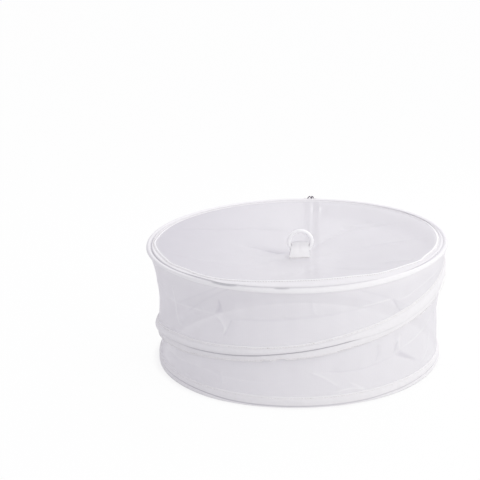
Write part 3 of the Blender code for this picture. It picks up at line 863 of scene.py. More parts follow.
def elastic_material(finish):
    """A braided cover: crossing diagonal strands."""
    look = Shader("elastic_braid", 0.8)
    waves = []
    for lean in (1.0, -1.0):
        turned = look.node("ShaderNodeMapping")
        turned.inputs["Rotation"].default_value = (lean, 1.0, 0.6)
        look.link(look.place(), turned.inputs["Vector"])
        waves.append(look.wave(420.0, turned.outputs[0]))
    braid = look.math("MAXIMUM", *waves)
    look.colour(look.blend(braid, scaled(finish.elastic, 0.72), scaled(finish.elastic, 1.1)))
    look.bump(braid, 0.00012, 0.7)
    return look.material


def foot_sections(drum, azimuths):
    """The foot's tape: a roll round the wire, a crease above it, and a band up to the stitches."""
    crease = curve_value(foot_crease, azimuths)
    deep = ramp((crease - 1.4) / 1.6)
    out = curve_value(foot_out, azimuths)
    swell = 1 + wander(azimuths, 0.08, (11, 0.3), (23, 1.1), (37, 2.0))
    outer = [
        (0.30, 0.0),
        (1.90 + out, 0.05),
        (2.35 + out, 0.25 * crease),
        (2.30 + out, 0.60 * crease),
        (2.10 - 0.75 * deep + 0.6 * out, crease),
        (2.10 - 0.35 * deep + 0.5 * out, crease + 0.7),
        ((2.35 + 0.3 * out) * swell, 5.40),
        (2.05 * swell, 7.00),
        (1.60, 8.20),
        (1.42, 8.80),
        (1.38, 9.50),
        (1.05, 10.00),
    ]
    inner = [(-0.75, 10.00), (-1.15, 9.30), (-1.05, 8.40), (-1.55, 6.00), (-2.00, 3.40)]
    inner += [(-2.10, 1.60), (-1.40, 0.20), (-0.30, 0.0)]
    shape = sections_of(azimuths, outer + inner) / 1000
    shape[..., 0] += drum.foot_line
    return shape


def build_foot(drum, looks):
    azimuths = np.arange(-180.0, 180.0, 0.5)
    section = foot_sections(drum, azimuths)
    # Painted shade in the crease, at the roll's foot and on the inner edges; painted highlight on
    # top
    tone = np.zeros(section.shape[:2])
    tone[:, 4] = -0.35 - 0.2 * ramp((40 - azimuths) / 60)
    tone[:, 1] = -0.35
    tone[:, 10:12] = 0.3
    tone[:, 12:14] = -0.8
    tone[:, 17:20] = -0.8
    mesh = band_mesh("foot_tape", azimuths, *rounded(section, tone), closed=True)
    add_piece("foot_tape", mesh, looks["tape"], "bottom_casing")
    around = np.linspace(-180, 180, int(2 * math.pi * drum.foot / drum.sizes.stitch) + 1)
    sewn_at, thread_out, holes_out = 0.0085, 0.00135, 0.00142
    height = sewn_at + wander(around, 0.00015, (7, 0.4), (19, 1.0))
    outward = place(around, 1.0, 0.0)
    points = place(around, drum.foot_line + thread_out, height)
    stitch_row("foot_stitches", points, outward, looks["thread"], width=0.00034)
    holes = place(around, drum.foot_line + holes_out, height)
    needle_holes("foot_needle_holes", holes, outward, looks["needle"], 0.35, size=0.00026)


def spiral_sections(azimuths):
    """The spiral's tape: a soft roll under a flat band, its top edge against the net."""
    swell = 1 + wander(azimuths, 0.05, (9, 0.8), (21, 0.2), (33, 1.7))
    swell = swell * curve_value(band_belly, azimuths)
    low = curve_value(roll_low, azimuths)
    top = curve_value(band_top, azimuths)
    shape = [
        (0.35, top + 0.05),
        (0.85, top - 0.25),
        (1.10, top - 1.0),
        (1.35, top - 1.8),
        (2.20 * swell, 0.70 * top),
        (2.85 * swell, 0.53 * top - 0.3 * low),
        (3.10 * swell, 3.10 - 0.5 * low),
        (2.90 * swell, 1.30 - 0.9 * low),
        (2.10, 0.15 - low),
        (0.50, 0.05 - 0.9 * low),
        (-0.55, 0.70 - 0.4 * low),
        (-1.05, 2.40),
        (-1.25, 5.50),
        (-1.05, top - 0.9),
        (-0.45, top - 0.1),
    ]
    return sections_of(azimuths, shape) / 1000


def build_spiral(drum, looks):
    azimuths = spread_azimuths(-182.6, 168.8, 0.5, 1.0)
    raw = spiral_sections(azimuths)
    # Painted highlight on the band's top edge, painted shade under the roll, deeper to the left
    tone = np.zeros(raw.shape[:2])
    left = ramp((20 - azimuths) / 50)
    tone[:, 0:3] = 0.35
    tone[:, 3] = -0.04
    tone[:, 6] = -0.05 * left
    tone[:, 7] = -0.12 * left
    tone[:, 8] = -0.25 - 0.4 * left
    tone[:, 9] = -0.6
    fold = drum.fold(azimuths)
    along_fold = np.stack([drum.line(azimuths), fold], -1)[:, None, :]
    section, tone = rounded(raw, tone)
    mesh = band_mesh("spiral_tape", azimuths, section + along_fold, tone, closed=False)
    add_piece("spiral_tape", mesh, looks["tape"], "spiral_casing", folds=True)

    out = in_metres(strip_out, azimuths)
    room = np.maximum(fold - drum.sizes.foot_band - 0.0006, 0.0004)
    reach = np.minimum(in_metres(strip_reach, azimuths), room)
    half, tucked, sewn_in = 0.00028, 0.0016, 0.0012
    columns = []
    for share in np.linspace(0, 1, 9):
        bow = 0.0003 * math.sin(math.pi * share)
        across = out + (np.minimum(out, 0.0004) - out) * share + bow + half
        columns.append((across, tucked - (tucked + reach) * share))
    back = [(u - 2 * half, v) for u, v in columns[::-1]]
    shape = sections_of(azimuths, columns + back)
    roll = in_metres(roll_low, azimuths)[:, None]
    # Painted shade just under the roll, strongest where the crease gapes; painted highlight on the
    # hem
    painted_shade = ramp((shape[..., 1] + roll + 0.0013) / 0.0010)
    gape = 0.12 + 0.88 * ramp((24.0 - azimuths) / 6.0)[:, None]
    hem = ramp(1 - np.abs(shape[..., 1] + reach[:, None] - 0.0009) / 0.0010)
    shade = 0.5 * hem - 0.95 * painted_shade * gape
    mesh = band_mesh("spiral_strip", azimuths, shape + along_fold, shade, closed=False)
    add_piece("spiral_strip", mesh, looks["tape"], "spiral_lower_tape", folds=True)

    around = np.linspace(-182.0, 168.0, int(math.radians(351.0) * drum.foot / drum.sizes.stitch))
    height = drum.fold(around) + in_metres(band_top, around) - sewn_in
    thread_out, strip_thread_out, clear = 0.00122, 0.0007, 0.0014
    points = place(around, drum.line(around) + thread_out, height)
    outward = place(around, 1.0, 0.0)
    thread, needle = looks["thread"], looks["needle"]
    stitch_row("spiral_stitches", points, outward, thread, width=0.00034, folds=True)
    needle_holes("spiral_needle_holes", points, outward, needle, 0.06, folds=True)
    edge = np.clip(in_metres(strip_reach, around) - sewn_in, 0.0, None)
    free = drum.fold(around) - edge > drum.sizes.foot_band + clear
    low = around[free]
    radius = drum.line(low) + in_metres(strip_out, low) + strip_thread_out
    points = place(low, radius, drum.fold(low) - edge[free])
    stitch_row("strip_stitches", points, place(low, 1.0, 0.0), thread, width=0.0003, folds=True)


def net_wall(
    name, node, drum, look, azimuths, level, ends, edges, lean, hem, puff, creases, bright
):
    """A net between two tapes: drawn in at its waist, folded, and raised over the lower tape.

    ends are its lowest and highest heights, edges the radii there, and level is the height it is
    measured at. hem gives the raised part's rise, height and half width, and bright the painted
    highlight under its upper edge.
    """
    low, high = ends
    t = np.linspace(0, 1, 64)[:, None]
    bow = 4 * t * (1 - t)
    heights = low + (high - low) * t
    waist = drum.sizes.draw_in * (high - low) / drum.height * 1.35
    rise, height, half = hem
    radii = edges[0] + (edges[1] - edges[0]) * t + (lean - waist) * bow
    radii = radii + rise * ramp(1 - np.abs(heights - low - height) / half)
    grown = np.broadcast_to(azimuths[None, :], heights.shape)
    flat = np.stack([grown.ravel() * drum.degree(level), heights.ravel() * 1000], -1)
    folds, facets = creases
    folds, facets = laid_flat(folds, drum.degree(level)), laid_flat(facets, drum.degree(0.06))
    rise, tone = folded(flat, folds, facets)
    hold = ramp(np.minimum(t, 1 - t) / 0.10)
    radii = radii + (rise.reshape(heights.shape) / 1000 + wander(grown, *puff) * bow) * hold
    # Painted shade and highlight from the folds, and a painted highlight under the upper edge
    shade = tone.reshape(heights.shape) + bright * ramp((heights - high + 0.012) / 0.010)
    u = np.radians(azimuths) * drum.cone(level)
    mesh = grid_mesh(name, place(azimuths[None, :], radii, heights), u, heights, shade=shade)
    piece = add_piece(name, mesh, look, node, folds=True)
    length = math.radians(azimuths[-1] - azimuths[0]) * drum.cone(0.06)
    widths = np.radians(np.diff(azimuths)) * drum.cone(0.06)
    span = high - low
    flat = (length, float(span.max()))


def build_walls(drum, looks):
    under_band, under_rim = 0.003, 0.0040
    azimuths = spread_azimuths(-186.6, 173.3)
    line, fold = drum.line(azimuths), drum.fold(azimuths)
    low = fold + in_metres(band_top, azimuths) - under_band
    net_wall(
        "upper_net",
        "upper_wall_mesh",
        drum,
        looks["net"],
        azimuths,
        level=0.08,
        ends=(low, drum.height - under_rim + 0 * fold),
        edges=(line, drum.rim_line),
        lean=0.0016 * np.sin(np.radians(azimuths)),
        hem=(0.0003, 0.0028, 0.0030),
        puff=(0.00035, (13, 0.2), (29, 1.3), (47, 2.1)),
        creases=(upper_folds, upper_facets),
        bright=0.16,
    )
    under_foot, over_fold, behind = 0.002, 0.0015, 0.0006
    azimuths = spread_azimuths(-172.0, 173.3)
    line, fold = drum.line(azimuths), drum.fold(azimuths)
    net_wall(
        "lower_net",
        "lower_wall_mesh",
        drum,
        looks["net"],
        azimuths,
        level=0.04,
        ends=(drum.sizes.foot_band - under_foot + 0 * fold, fold + over_fold),
        edges=(drum.foot_line, line + np.minimum(in_metres(strip_out, azimuths), 0.0) - behind),
        lean=0.0018 * np.maximum(np.sin(np.radians(azimuths)), 0.0),
        hem=(0.0008, 0.0018, 0.0026),
        puff=(0.0003, (14, 1.2), (31, 0.3), (43, 1.1)),
        creases=(lower_folds, lower_facets),
        bright=0.0,
    )


def wall_strip(name, node, span, rows, look, thickness=cloth_thickness, shade=0.0, folds=True):
    """A flat strip up the wall between two azimuths, through rows of (radius, height)."""
    cols = 7
    rows = smooth_line(rows, 5)
    azimuths = np.linspace(*span, cols)
    crown = 0.00025 * (1 - np.linspace(-1, 1, cols) ** 2)
    outer = place(azimuths[None, :], rows[:, :1] + thickness + crown, rows[:, 1:])
    inner = place(azimuths[None, ::-1], rows[:, :1], rows[:, 1:])
    points = np.concatenate([outer, inner], axis=1)
    width = math.radians(abs(span[1] - span[0])) * float(rows[:, 0].mean())
    # Painted shade on the strip's inner face, the side away from the light
    face = np.zeros(points.shape[:2])
    face[:, cols:] = shade
    u = np.linspace(0, 2 * width, 2 * cols + 1)
    mesh = grid_mesh(name, points, u, rows[:, 1], wrap_u=True, shade=face)
    cap_ends(mesh, *points.shape[:2])
    add_piece(name, mesh, look, node, folds=folds)


def build_back_seam(drum, looks):
    middle = sum(seam_tape_span) / 2
    line, fold = float(drum.line(middle)), float(drum.fold(middle))
    foot, top = drum.foot_line, (drum.rim_line - 0.0002, drum.height - 0.0048)
    rows = [
        (foot + 0.0010, 0.0100),
        (foot + 0.0002, 0.0180),
        ((foot + line) / 2 - 0.0030, 0.0550),
        (line - 0.0016, fold - 0.0080),
        (line + 0.0002, fold + 0.0040),
        top,
    ]
    tape = looks["tape"]
    wall_strip("seam_tape_cloth", "seam_tape", seam_tape_span, rows, tape, shade=-1.0)
    line = float(drum.line(-185.0))
    across = ((line + drum.rim_line) / 2 - 0.0030, 0.0650)
    beside = [(foot + 0.0006, 0.0100), (line + 0.0002, 0.0200), across, top]
    span = [azimuth - 360.0 for azimuth in binding_span]
    doubled = looks["doubled"]
    wall_strip("seam_binding_net", "seam_binding", span, beside, doubled, 0.0005, shade=-1.0)
    lapped = [(foot + 0.00235, 0.0036), (foot + 0.0022, 0.0060), (foot + 0.0014, 0.0100)]
    wall_strip("seam_tape_tail", "seam_tape_end", seam_tape_span, lapped, tape, folds=False)

    heights = np.arange(0.013, drum.height - 0.007, drum.sizes.stitch)
    table = np.array([(height * 1000, radius) for radius, height in rows])
    thread_out, inset = 0.00075, 0.45
    radii = curve_value(table, heights * 1000) + thread_out
    for name, azimuth in (
        ("seam_stitches_right", seam_tape_span[0] + inset),
        ("seam_stitches_left", seam_tape_span[1] - inset),
    ):
        points = place(azimuth, radii, heights)
        stitch_row(name, points, place(azimuth, 1.0, 0 * heights), looks["thread"], folds=True)


def near_gape(azimuths, middle, reach):
    """1 in the middle of a gape, 0 past its ends."""
    return ramp(1 - ((azimuths - middle) / reach) ** 2) ** 0.5


def rim_sections(drum, azimuths):
    """The rim's tape: a roll round the wire, a sewn groove, and the hem up to its lip."""
    lip, crest = in_metres(lip_radius, azimuths), in_metres(lip_height, azimuths)
    gape = sum(depth / 1000 * near_gape(azimuths, at, reach) for at, reach, depth, _ in rim_gapes)
    groove = in_metres(groove_radius, azimuths) + 0.6 * gape
    wide = drum.sizes.roll * (1 + wander(azimuths, 0.04, (17, 0.2), (31, 1.4)))
    top, low = in_metres(rim_crest, azimuths), in_metres(rim_underside, azimuths)
    level, half = (top + low) / 2, (top - low) / 2
    first = np.arccos(np.clip((groove + 0.0003 - drum.rim_line) / wide, -0.85, 0.85))
    shape = []
    for share in np.linspace(0, 1, 12):
        turn = first + (math.radians(-150) - first) * share
        shape.append((drum.rim_line + wide * np.cos(turn), level + half * np.sin(turn)))
    seat = level + half * np.sin(first)
    middle = (groove + lip) / 2
    shape += [
        (groove - 0.0022, drum.height - 0.0030),
        (middle, crest - 0.0018),
        (lip + 0.0014, crest - 0.0013),
        (lip, crest - 0.0007),
        (lip - 0.0003, crest + 0.0002),
        (lip + 0.0003, crest + 0.0008),
        (lip + 0.0013, crest + 0.0004),
        (lip + 0.0026, crest - 0.0004),
        (middle + 0.0006, np.maximum(0.5 * crest + 0.5 * seat, seat) + 0.0001),
        (groove - 0.0010, seat + 0.0006),
        (groove - 0.0004, seat - 0.0002 - gape),
        (groove + 0.0001, seat - 0.0009 - gape),
    ]
    return sections_of(azimuths, shape)


def build_rim(drum, looks):
    azimuths = np.arange(-180.0, 180.0, 0.4)
    raw = rim_sections(drum, azimuths)
    # Painted shade in groove, hem and gapes, more at the front; painted highlight on lip and roll
    # face
    tone = np.zeros(raw.shape[:2])
    away = np.abs(azimuths)
    front = ramp((120 - away) / 60) * np.clip((85 - azimuths) / 50, 0.15, 1.0)
    tone[:, -5:-3] = -0.06
    tone[:, -3] = -0.35 * ramp(1 - np.abs(azimuths + 40) / 22)
    tone[:, -2:] = -0.1 - 0.42 * front[:, None]
    tone[:, 0] = -0.30 * front
    for middle, reach, _, painted_shade in rim_gapes:
        near = near_gape(azimuths, middle, reach)[:, None]
        tone[:, -3:] -= painted_shade * near
        tone[:, 0:2] -= 0.7 * painted_shade * near
    tone[:, 16:18] = 0.6 * ramp((130 - away) / 40)[:, None]
    tone[:, 2:7] = 0.4 * ramp((75 - away) / 20)[:, None]
    mesh = band_mesh("rim_tape", azimuths, *rounded(raw, tone), closed=True)
    add_piece("rim_tape", mesh, looks["tape"], "top_casing", "lid")
    around = np.linspace(-180, 180, int(2 * math.pi * drum.rim_line / drum.sizes.stitch) + 1)
    sewn_in, thread_up = 0.0019, 0.00005
    radius = in_metres(lip_radius, around) + sewn_in
    height = in_metres(lip_height, around) + thread_up
    points, up = place(around, radius, height), np.tile(upward, (len(around), 1))
    stitch_row("hem_stitches", points, up, looks["thread"], "lid", width=0.0003)
    needle_holes("hem_needle_holes", points, up, looks["needle"], 0.05, "lid")


def top_height(drum, radius, azimuth, still=0.015):
    """The slack net's height: level in its middle, and up to the hem's lip."""
    lip, edge = in_metres(lip_radius, azimuth), in_metres(lip_height, azimuth) + 0.0003
    low = drum.height - drum.sizes.roll + 0.0006 - drum.sizes.sag
    return low + (edge - low) * curve_value(sag_shares, ramp((radius - still) / (lip - still)))


def build_top_net(drum, looks):
    azimuths = np.arange(-180.0, 180.0, 0.75)
    q = np.linspace(0.012, 1.0, 84)[:, None]
    under_hem, tent_height, slack = 0.6, 0.0006, 1.02
    lip = (curve_value(lip_radius, azimuths) + under_hem) / 1000
    radii = q * lip
    grown = np.broadcast_to(azimuths[None, :], radii.shape)
    flat = place(grown, radii, 0.0)[..., :2].reshape(-1, 2) * 1000
    rise, tone = folded(flat, laid_flat(top_folds))
    edge = ramp((1 - q) / 0.06)
    puff = wander(grown, 0.0009, (5, 0.4), (9, 1.3), (13, 2.2)) * q * 4 * q * (1 - q)
    hold = edge * ramp((radii - 0.016) / 0.012)
    heights = top_height(drum, radii, grown)
    heights = heights + (rise.reshape(radii.shape) / 1000 + puff) * hold
    tent = bell(flat[:, 0], tab_middle * 1000, 24) * bell(flat[:, 1], 0.0, 15)
    heights = heights + tent_height * tent.reshape(radii.shape)
    points = place(grown, radii, heights)
    # Painted shade growing towards the left; painted highlight along the margin under the lip
    painted_left_shade = ramp((-points[..., 0] - 0.010) / 0.120) * -0.76
    margin = 0.30 * ramp((q - 0.984) / 0.010) * ramp((120 - np.abs(grown)) / 30)
    shade = tone.reshape(radii.shape) * edge + painted_left_shade * (1 - margin) + margin
    mesh = grid_mesh("top_net", points, points[..., 0], points[..., 1], wrap_u=True, shade=shade)
    finish_faces(mesh, [range(len(azimuths))], top_up=True)
    mesh.shade_smooth()
    spots = np.array([mesh.vertices[loop.vertex_index].co.xy for loop in mesh.loops])
    mesh.uv_layers["cloth"].data.foreach_set("uv", spots.ravel())
    piece = add_piece("top_net", mesh, looks["top"], "top_mesh", "lid")


tab_low, tab_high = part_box("pull_tab")
tab_middle = (tab_low[0] + tab_high[0]) / 2
foot_low, foot_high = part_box("tab_foot")


def build_tab(looks):
    """The tab: a loop of tape, sewn down all along its base, with soft lobes and a round top."""
    raised, taller = 0.0006, 0.0010
    root = foot_high[2] + raised
    reach = tab_high[2] + taller - root
    half = smooth_line(tab_outline, 4)
    level = root + half[:, 1] * reach
    front = np.stack([-half[:, 0] / 1000, level], -1)
    back = np.stack([half[:, 0] / 1000, level], -1)[::-1][1:]
    loop = np.concatenate([front, back])
    up = ((loop[:, 1] - root) / reach)[:, None]
    risen = ramp(up)
    x = np.linspace(-1, 1, 61)
    facing = (np.arange(len(loop)) < len(front))[:, None]
    width = 0.0106 - 0.0017 * ramp(up / 0.5) - 0.00070 * eased(ramp((up - 0.60) / 0.36))
    lean = -0.0001 - 0.0010 * (1 - risen)
    lobes = bell(x, -0.55, 0.34) + bell(x, 0.45, 0.34)
    fold = 0.35 * bell(x, -0.06, 0.16) * up
    swell = (0.18 * lobes - fold) * np.sin(np.pi * risen) / 1000
    grid = np.zeros((len(loop), len(x), 3))
    grid[..., 0] = tab_middle + lean + x * width
    grid[..., 1] = loop[:, :1] - swell * facing
    grid[..., 2] = loop[:, 1:] - 0.0014 * (x**2) * risen**2
    # Painted highlight on the front face below the crest, less on its middle fold; painted shade
    # on the crest
    shade = (1.0 - fold) * ramp((0.96 - up) / 0.45) * facing - 0.45 * ramp((up - 0.92) / 0.08)
    u = np.linspace(0, 0.0212, len(x))
    mesh = grid_mesh("tab_cloth", grid, u, lengths_along(loop), shade=shade)
    finish_faces(mesh)
    piece = add_piece("tab_cloth", mesh, looks["tape"], "pull_tab", body=None)
    thicken(piece, cloth_thickness)
    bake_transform(piece)

    margin, aside = 0.0004, 0.0011
    x = np.linspace(foot_low[0] - margin, foot_high[0] + margin, 41) - aside
    y = np.linspace(foot_low[1] - margin, foot_high[1] + margin, 13)[:, None]
    edge = np.minimum(1.0, np.minimum(y - y[0], y[-1] - y) / 0.0008)
    lift = foot_high[2] + 0.0004 - 0.0003 * (1 - edge) + 0.00006 * np.sin(x * 2100)
    grid = np.stack(np.broadcast_arrays(x[None, :], y, lift), -1)
    mesh = grid_mesh("tab_base", grid, x, y[:, 0])
    finish_faces(mesh)
    piece = add_piece("tab_base", mesh, looks["tape"], "tab_foot", "lid")
    thicken(piece, foot_high[2] - foot_low[2] + 0.0003)
    around = np.arange(tab_middle - 0.0109, tab_middle + 0.0089, 0.0021)
    for name, side in (("tab_stitches_front", -1.0), ("tab_stitches_back", 1.0)):
        spots = np.broadcast_arrays(around, side * 0.00346, root - 0.0003)
        points, out = np.stack(spots, -1), np.tile([0.0, 0.86 * side, 0.5], (len(around), 1))
        stitch_row(name, points, out, looks["thread"], "lid", width=0.00026)
        needle_holes(name + "_holes", points, out, looks["needle"], 0.12, "lid", size=0.0003)


def build_ring(drum, looks):
    """The ring: a slightly flattened round bar with a faint parting line."""
    low, high = (Vector(corner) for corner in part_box("pull_ring"))
    centre = (low + high) / 2
    sizes, flatter, lower, wide, thin = drum.sizes, 0.955, 0.0008, 1.22, 0.94
    turn = np.linspace(0, 2 * math.pi, 128, endpoint=False)[:, None]
    bar = np.linspace(0, 2 * math.pi, 28, endpoint=False)[None, :]
    flash = 0.00005 * bell(np.sin(bar), 0.0, 0.09)
    radius = sizes.ring_radius - 0.0001 + (wide * sizes.ring_bar + flash) * np.cos(bar)
    x = centre.x + radius * np.sin(turn)
    y = centre.y + sizes.ring_bar * np.sin(bar) * thin + 0 * turn
    z = centre.z - lower + flatter * radius * np.cos(turn)
    u = np.linspace(0, 2 * math.pi * sizes.ring_bar, bar.size + 1)
    v = np.linspace(0, 2 * math.pi * sizes.ring_radius, turn.size + 1)
    mesh = grid_mesh("ring_bar", np.stack([x, y, z], -1), u, v, wrap_u=True, wrap_v=True)
    finish_faces(mesh)
    add_piece("ring_bar", mesh, looks["ring"], "pull_ring", "ring")


def build_hook(drum, looks):
    width, height, depth, aside = 0.0032, 0.0020, 0.0010, -0.0012
    bar, thread, turns = 0.00055, 0.00016, 9
    middle = place(seam_azimuth, drum.rim_line, drum.height - 0.00050)
    along, out = place(seam_azimuth + 90.0, 1.0, 0.0), place(seam_azimuth, 1.0, 0.0)
    ways = np.stack([along * width, upward * height, out * depth])
    route = middle + along * aside + np.reshape(hook_route, (-1, 3)) @ ways
    tube("hook_wire", smooth_line(route), bar, looks["hook"], "closure_hook", "lid")
    t = np.linspace(0, turns * 2 * math.pi, 145)[:, None]
    for name, side, node in (
        ("hook_thread_right", -1.12, "hook_tack_right"),
        ("hook_thread_left", 1.95, "hook_tack_left"),
    ):
        reach = side * width + 0.0016 * (t / (turns * math.pi) - 1)
        route = middle + along * reach + out * 0.00085 * np.cos(t) + upward * 0.00078 * np.sin(t)
        tube(name, route, thread, looks["thread"], node, "lid", sides=6)


def build_elastic_loop(drum, looks):
    middle = sum(seam_tape_span) / 2
    ways = np.stack([place(middle + 90.0, 1.0, 0.0), place(middle, 1.0, 0.0), upward])
    line = smooth_line(place(middle, drum.foot, 0.0) + np.reshape(loop_route, (-1, 3)) @ ways, 4)
    curve = bpy.data.curves.new("elastic_loop", "CURVE")
    curve.dimensions = "3D"
    spline = curve.splines.new("POLY")
    spline.points.add(len(line) - 1)
    for point, spot in zip(spline.points, line):
        point.co = (*spot, 1.0)
    curve.bevel_depth = 0.00075
    curve.bevel_resolution = 4
    curve.use_fill_caps = True
    piece = add_piece("elastic_loop", curve, looks["elastic"], "closure_loop")


def build_spring(drum, looks):
    """The spiral's spring wire and the plastic tips on its ends, each with a mesh of its own."""
    out, up = 0.0010, 0.00215
    for name, node, first, last, radius, look in (
        ("spiral_spring", "spiral_wire", -181.23, 167.18, 0.0010, "steel"),
        ("spring_tip_head", "spiral_wire_tip_head", 167.29, 168.90, 0.0012, "tips"),
        ("spring_tip_tail", "spiral_wire_tip_tail", -182.96, -181.35, 0.0012, "tips"),
    ):
        azimuths = np.linspace(first, last, max(6, int(last - first)))
        route = place(azimuths, drum.line(azimuths) + out, drum.fold(azimuths) + up)
        tube(name, route, radius, looks[look], node, folds=True)


def dress_hoops(looks):
    """Gives the two hoops and their sleeves their own finishes."""
    for end in ("bottom", "top"):
        for piece, look in (("wire", "steel"), ("ferrule", "sleeve")):
            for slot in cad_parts[f"{end}_hoop_{piece}"].material_slots:
                slot.material = looks[look]


def add_table(scene, stage):
    """A wide white table that keeps the cover's shadow and glows to white further out."""
    reach, shadow, glow_from, glow_to = 6.0, 0.16, 0.125, 0.150
    corners = [(-reach, -reach, 0), (reach, -reach, 0), (reach, reach, 0), (-reach, reach, 0)]
    mesh = bpy.data.meshes.new("table")
    mesh.from_pydata(corners, [], [(0, 1, 2, 3)])
    table = bpy.data.objects.new("table", mesh)
    scene.collection.objects.link(table)
    table.location.z = -0.00002
    look = Shader("table_white", 0.9)
    look.base.inputs["Specular IOR Level"].default_value = 0.0
    grain = look.noise(3.0, 2.0)
    look.colour(look.blend(grain, scaled(stage.floor, 0.99), scaled(stage.floor, 1.01)))
    glow = look.node("ShaderNodeEmission")
    glow.inputs["Color"].default_value = (*white, 1.0)
    through = look.node("ShaderNodeLightPath").outputs["Is Transmission Ray"]
    seen = look.math("MAXIMUM", look.seen_directly(), through)
    spot = look.node("ShaderNodeVectorMath", operation="LENGTH")
    look.link(look.place(), spot.inputs[0])
    share = look.span(spot.outputs["Value"], glow_from, glow_to, shadow, 0.96)
    look.surface(look.mix(look.math("MULTIPLY", seen, share), look.base, glow))
    mesh.materials.append(look.material)


def add_light(scene, stage):
    """A bright sky that is white where it is seen, and two soft lamps."""
    world = bpy.data.worlds.new("studio")
    scene.world = world
    world.use_nodes = True
    sky = Nodes(world.node_tree)
    background = sky.tree.nodes["Background"]
    seen = sky.seen_directly()
    sky.link(sky.span(seen, 0.0, 1.0, stage.sky, 1.0), background.inputs["Strength"])
    sky.link(sky.blend(seen, (0.99, 0.972, 1.03), white), background.inputs["Color"])
    for name, spot, size, power, colour in (
        ("key_lamp", (1.05, -0.85, 0.80), 0.9, stage.key, (0.985, 0.995, 0.91)),
        ("top_lamp", (0.25, 0.35, 0.60), 0.5, stage.fill, (1.0, 0.99, 0.985)),
    ):
        lamp = bpy.data.lights.new(name, "AREA")
        lamp.shape = "SQUARE"
        lamp.size = size
        lamp.energy = power
        lamp.color = colour
        holder = bpy.data.objects.new(name, lamp)
        scene.collection.objects.link(holder)
        holder.location = spot
        aim = Vector((0.0, 0.0, 0.06)) - Vector(spot)
        holder.rotation_euler = aim.to_track_quat("-Z", "Y").to_euler()


def add_camera(scene):
    """The camera, where the photograph's was."""
    yaw, pitch, roll = -0.0463, -0.3000, -0.0321
    level = math.cos(pitch)
    forward = Vector((math.sin(yaw) * level, math.cos(yaw) * level, math.sin(pitch)))
    side = forward.cross(Vector((0.0, 0.0, 1.0))).normalized()
    up = side.cross(forward)
    right = side * math.cos(roll) + up * math.sin(roll)
    above = up * math.cos(roll) - side * math.sin(roll)
    camera = bpy.data.cameras.new("camera")
    camera.sensor_width = 36.0
    camera.lens = 95.4525
    holder = bpy.data.objects.new("camera", camera)
    scene.collection.objects.link(holder)
    turn = Matrix((right, above, -forward)).transposed().to_4x4()
    spot = Vector((0.0, -1.2171, 0.4956))
    holder.matrix_world = Matrix.Translation(spot) @ turn
    scene.camera = holder


def build_stage(scene, stage):
    scene.view_settings.view_transform = "Standard"
    add_table(scene, stage)
    add_light(scene, stage)
    add_camera(scene)


made_looks = {}


def looks_for(context):
    """The cloth, thread and plastic finishes, made once."""
    if not made_looks:
        finish, pitch = context.scene.food_cover_finish, context.scene.food_cover_sizes.net_hole
        steel = tuple(finish.steel)
        made_looks.update(
            tape=tape_material(finish),
            net=net_material("fine_net", finish, pitch, finish.cover),
            top=net_material("top_net", finish, pitch, 0.74, lines=0.0),
            doubled=net_material("doubled_net", finish, pitch, 0.92),
            thread=thread_material(finish),
            needle=needle_material(),
            ring=ring_material(finish),
            hook=metal_material("hook_wire", tuple(finish.hook), 0.4, 500.0),
            elastic=elastic_material(finish),
            steel=metal_material("spring_steel", steel, 0.35, 700.0),
            sleeve=metal_material("sleeve_steel", scaled(steel, 1.1), 0.42, 300.0),
            tips=tip_material(),
        )
    return made_looks


def settings(context):
    """The drum's shape and the looks that every piece is built with."""
    return Drum(context.scene.food_cover_sizes), looks_for(context)


class FOODCOVER_OT_foot(bpy.types.Operator):
    """Build the tape, stitches and needle holes of the foot"""

    bl_idname = "foodcover.foot"
    bl_label = "Foot Band"
    bl_options = {"REGISTER", "UNDO"}

    def execute(self, context):
        build_foot(*settings(context))
        return {"FINISHED"}


class FOODCOVER_OT_spiral(bpy.types.Operator):
    """Build the spiral's tape, its narrow strip and their stitches"""

    bl_idname = "foodcover.spiral"
    bl_label = "Spiral Band"
    bl_options = {"REGISTER", "UNDO"}

    def execute(self, context):
        build_spiral(*settings(context))
        return {"FINISHED"}


class FOODCOVER_OT_walls(bpy.types.Operator):
    """Build the two net walls with their folds"""

    bl_idname = "foodcover.walls"
    bl_label = "Net Walls"
    bl_options = {"REGISTER", "UNDO"}

    def execute(self, context):
        build_walls(*settings(context))
        return {"FINISHED"}


class FOODCOVER_OT_seam(bpy.types.Operator):
    """Build the tape and binding of the back seam"""

    bl_idname = "foodcover.seam"
    bl_label = "Back Seam"
    bl_options = {"REGISTER", "UNDO"}

    def execute(self, context):
        build_back_seam(*settings(context))
        return {"FINISHED"}


class FOODCOVER_OT_rim(bpy.types.Operator):
    """Build the rim's rolled tape, its hem and stitches"""

    bl_idname = "foodcover.rim"
    bl_label = "Rim and Hem"
    bl_options = {"REGISTER", "UNDO"}

    def execute(self, context):
        build_rim(*settings(context))
        return {"FINISHED"}


class FOODCOVER_OT_top(bpy.types.Operator):
    """Build the slack net of the top"""

    bl_idname = "foodcover.top"
    bl_label = "Top Net"
    bl_options = {"REGISTER", "UNDO"}

    def execute(self, context):
        build_top_net(*settings(context))
        return {"FINISHED"}


class FOODCOVER_OT_tab(bpy.types.Operator):
    """Build the cloth tab and its sewn foot"""

    bl_idname = "foodcover.tab"
    bl_label = "Pull Tab"
    bl_options = {"REGISTER", "UNDO"}

    def execute(self, context):
        build_tab(looks_for(context))
        return {"FINISHED"}


class FOODCOVER_OT_ring(bpy.types.Operator):
    """Build the plastic ring"""

    bl_idname = "foodcover.ring"
    bl_label = "Pull Ring"
    bl_options = {"REGISTER", "UNDO"}

    def execute(self, context):
        build_ring(*settings(context))
        return {"FINISHED"}


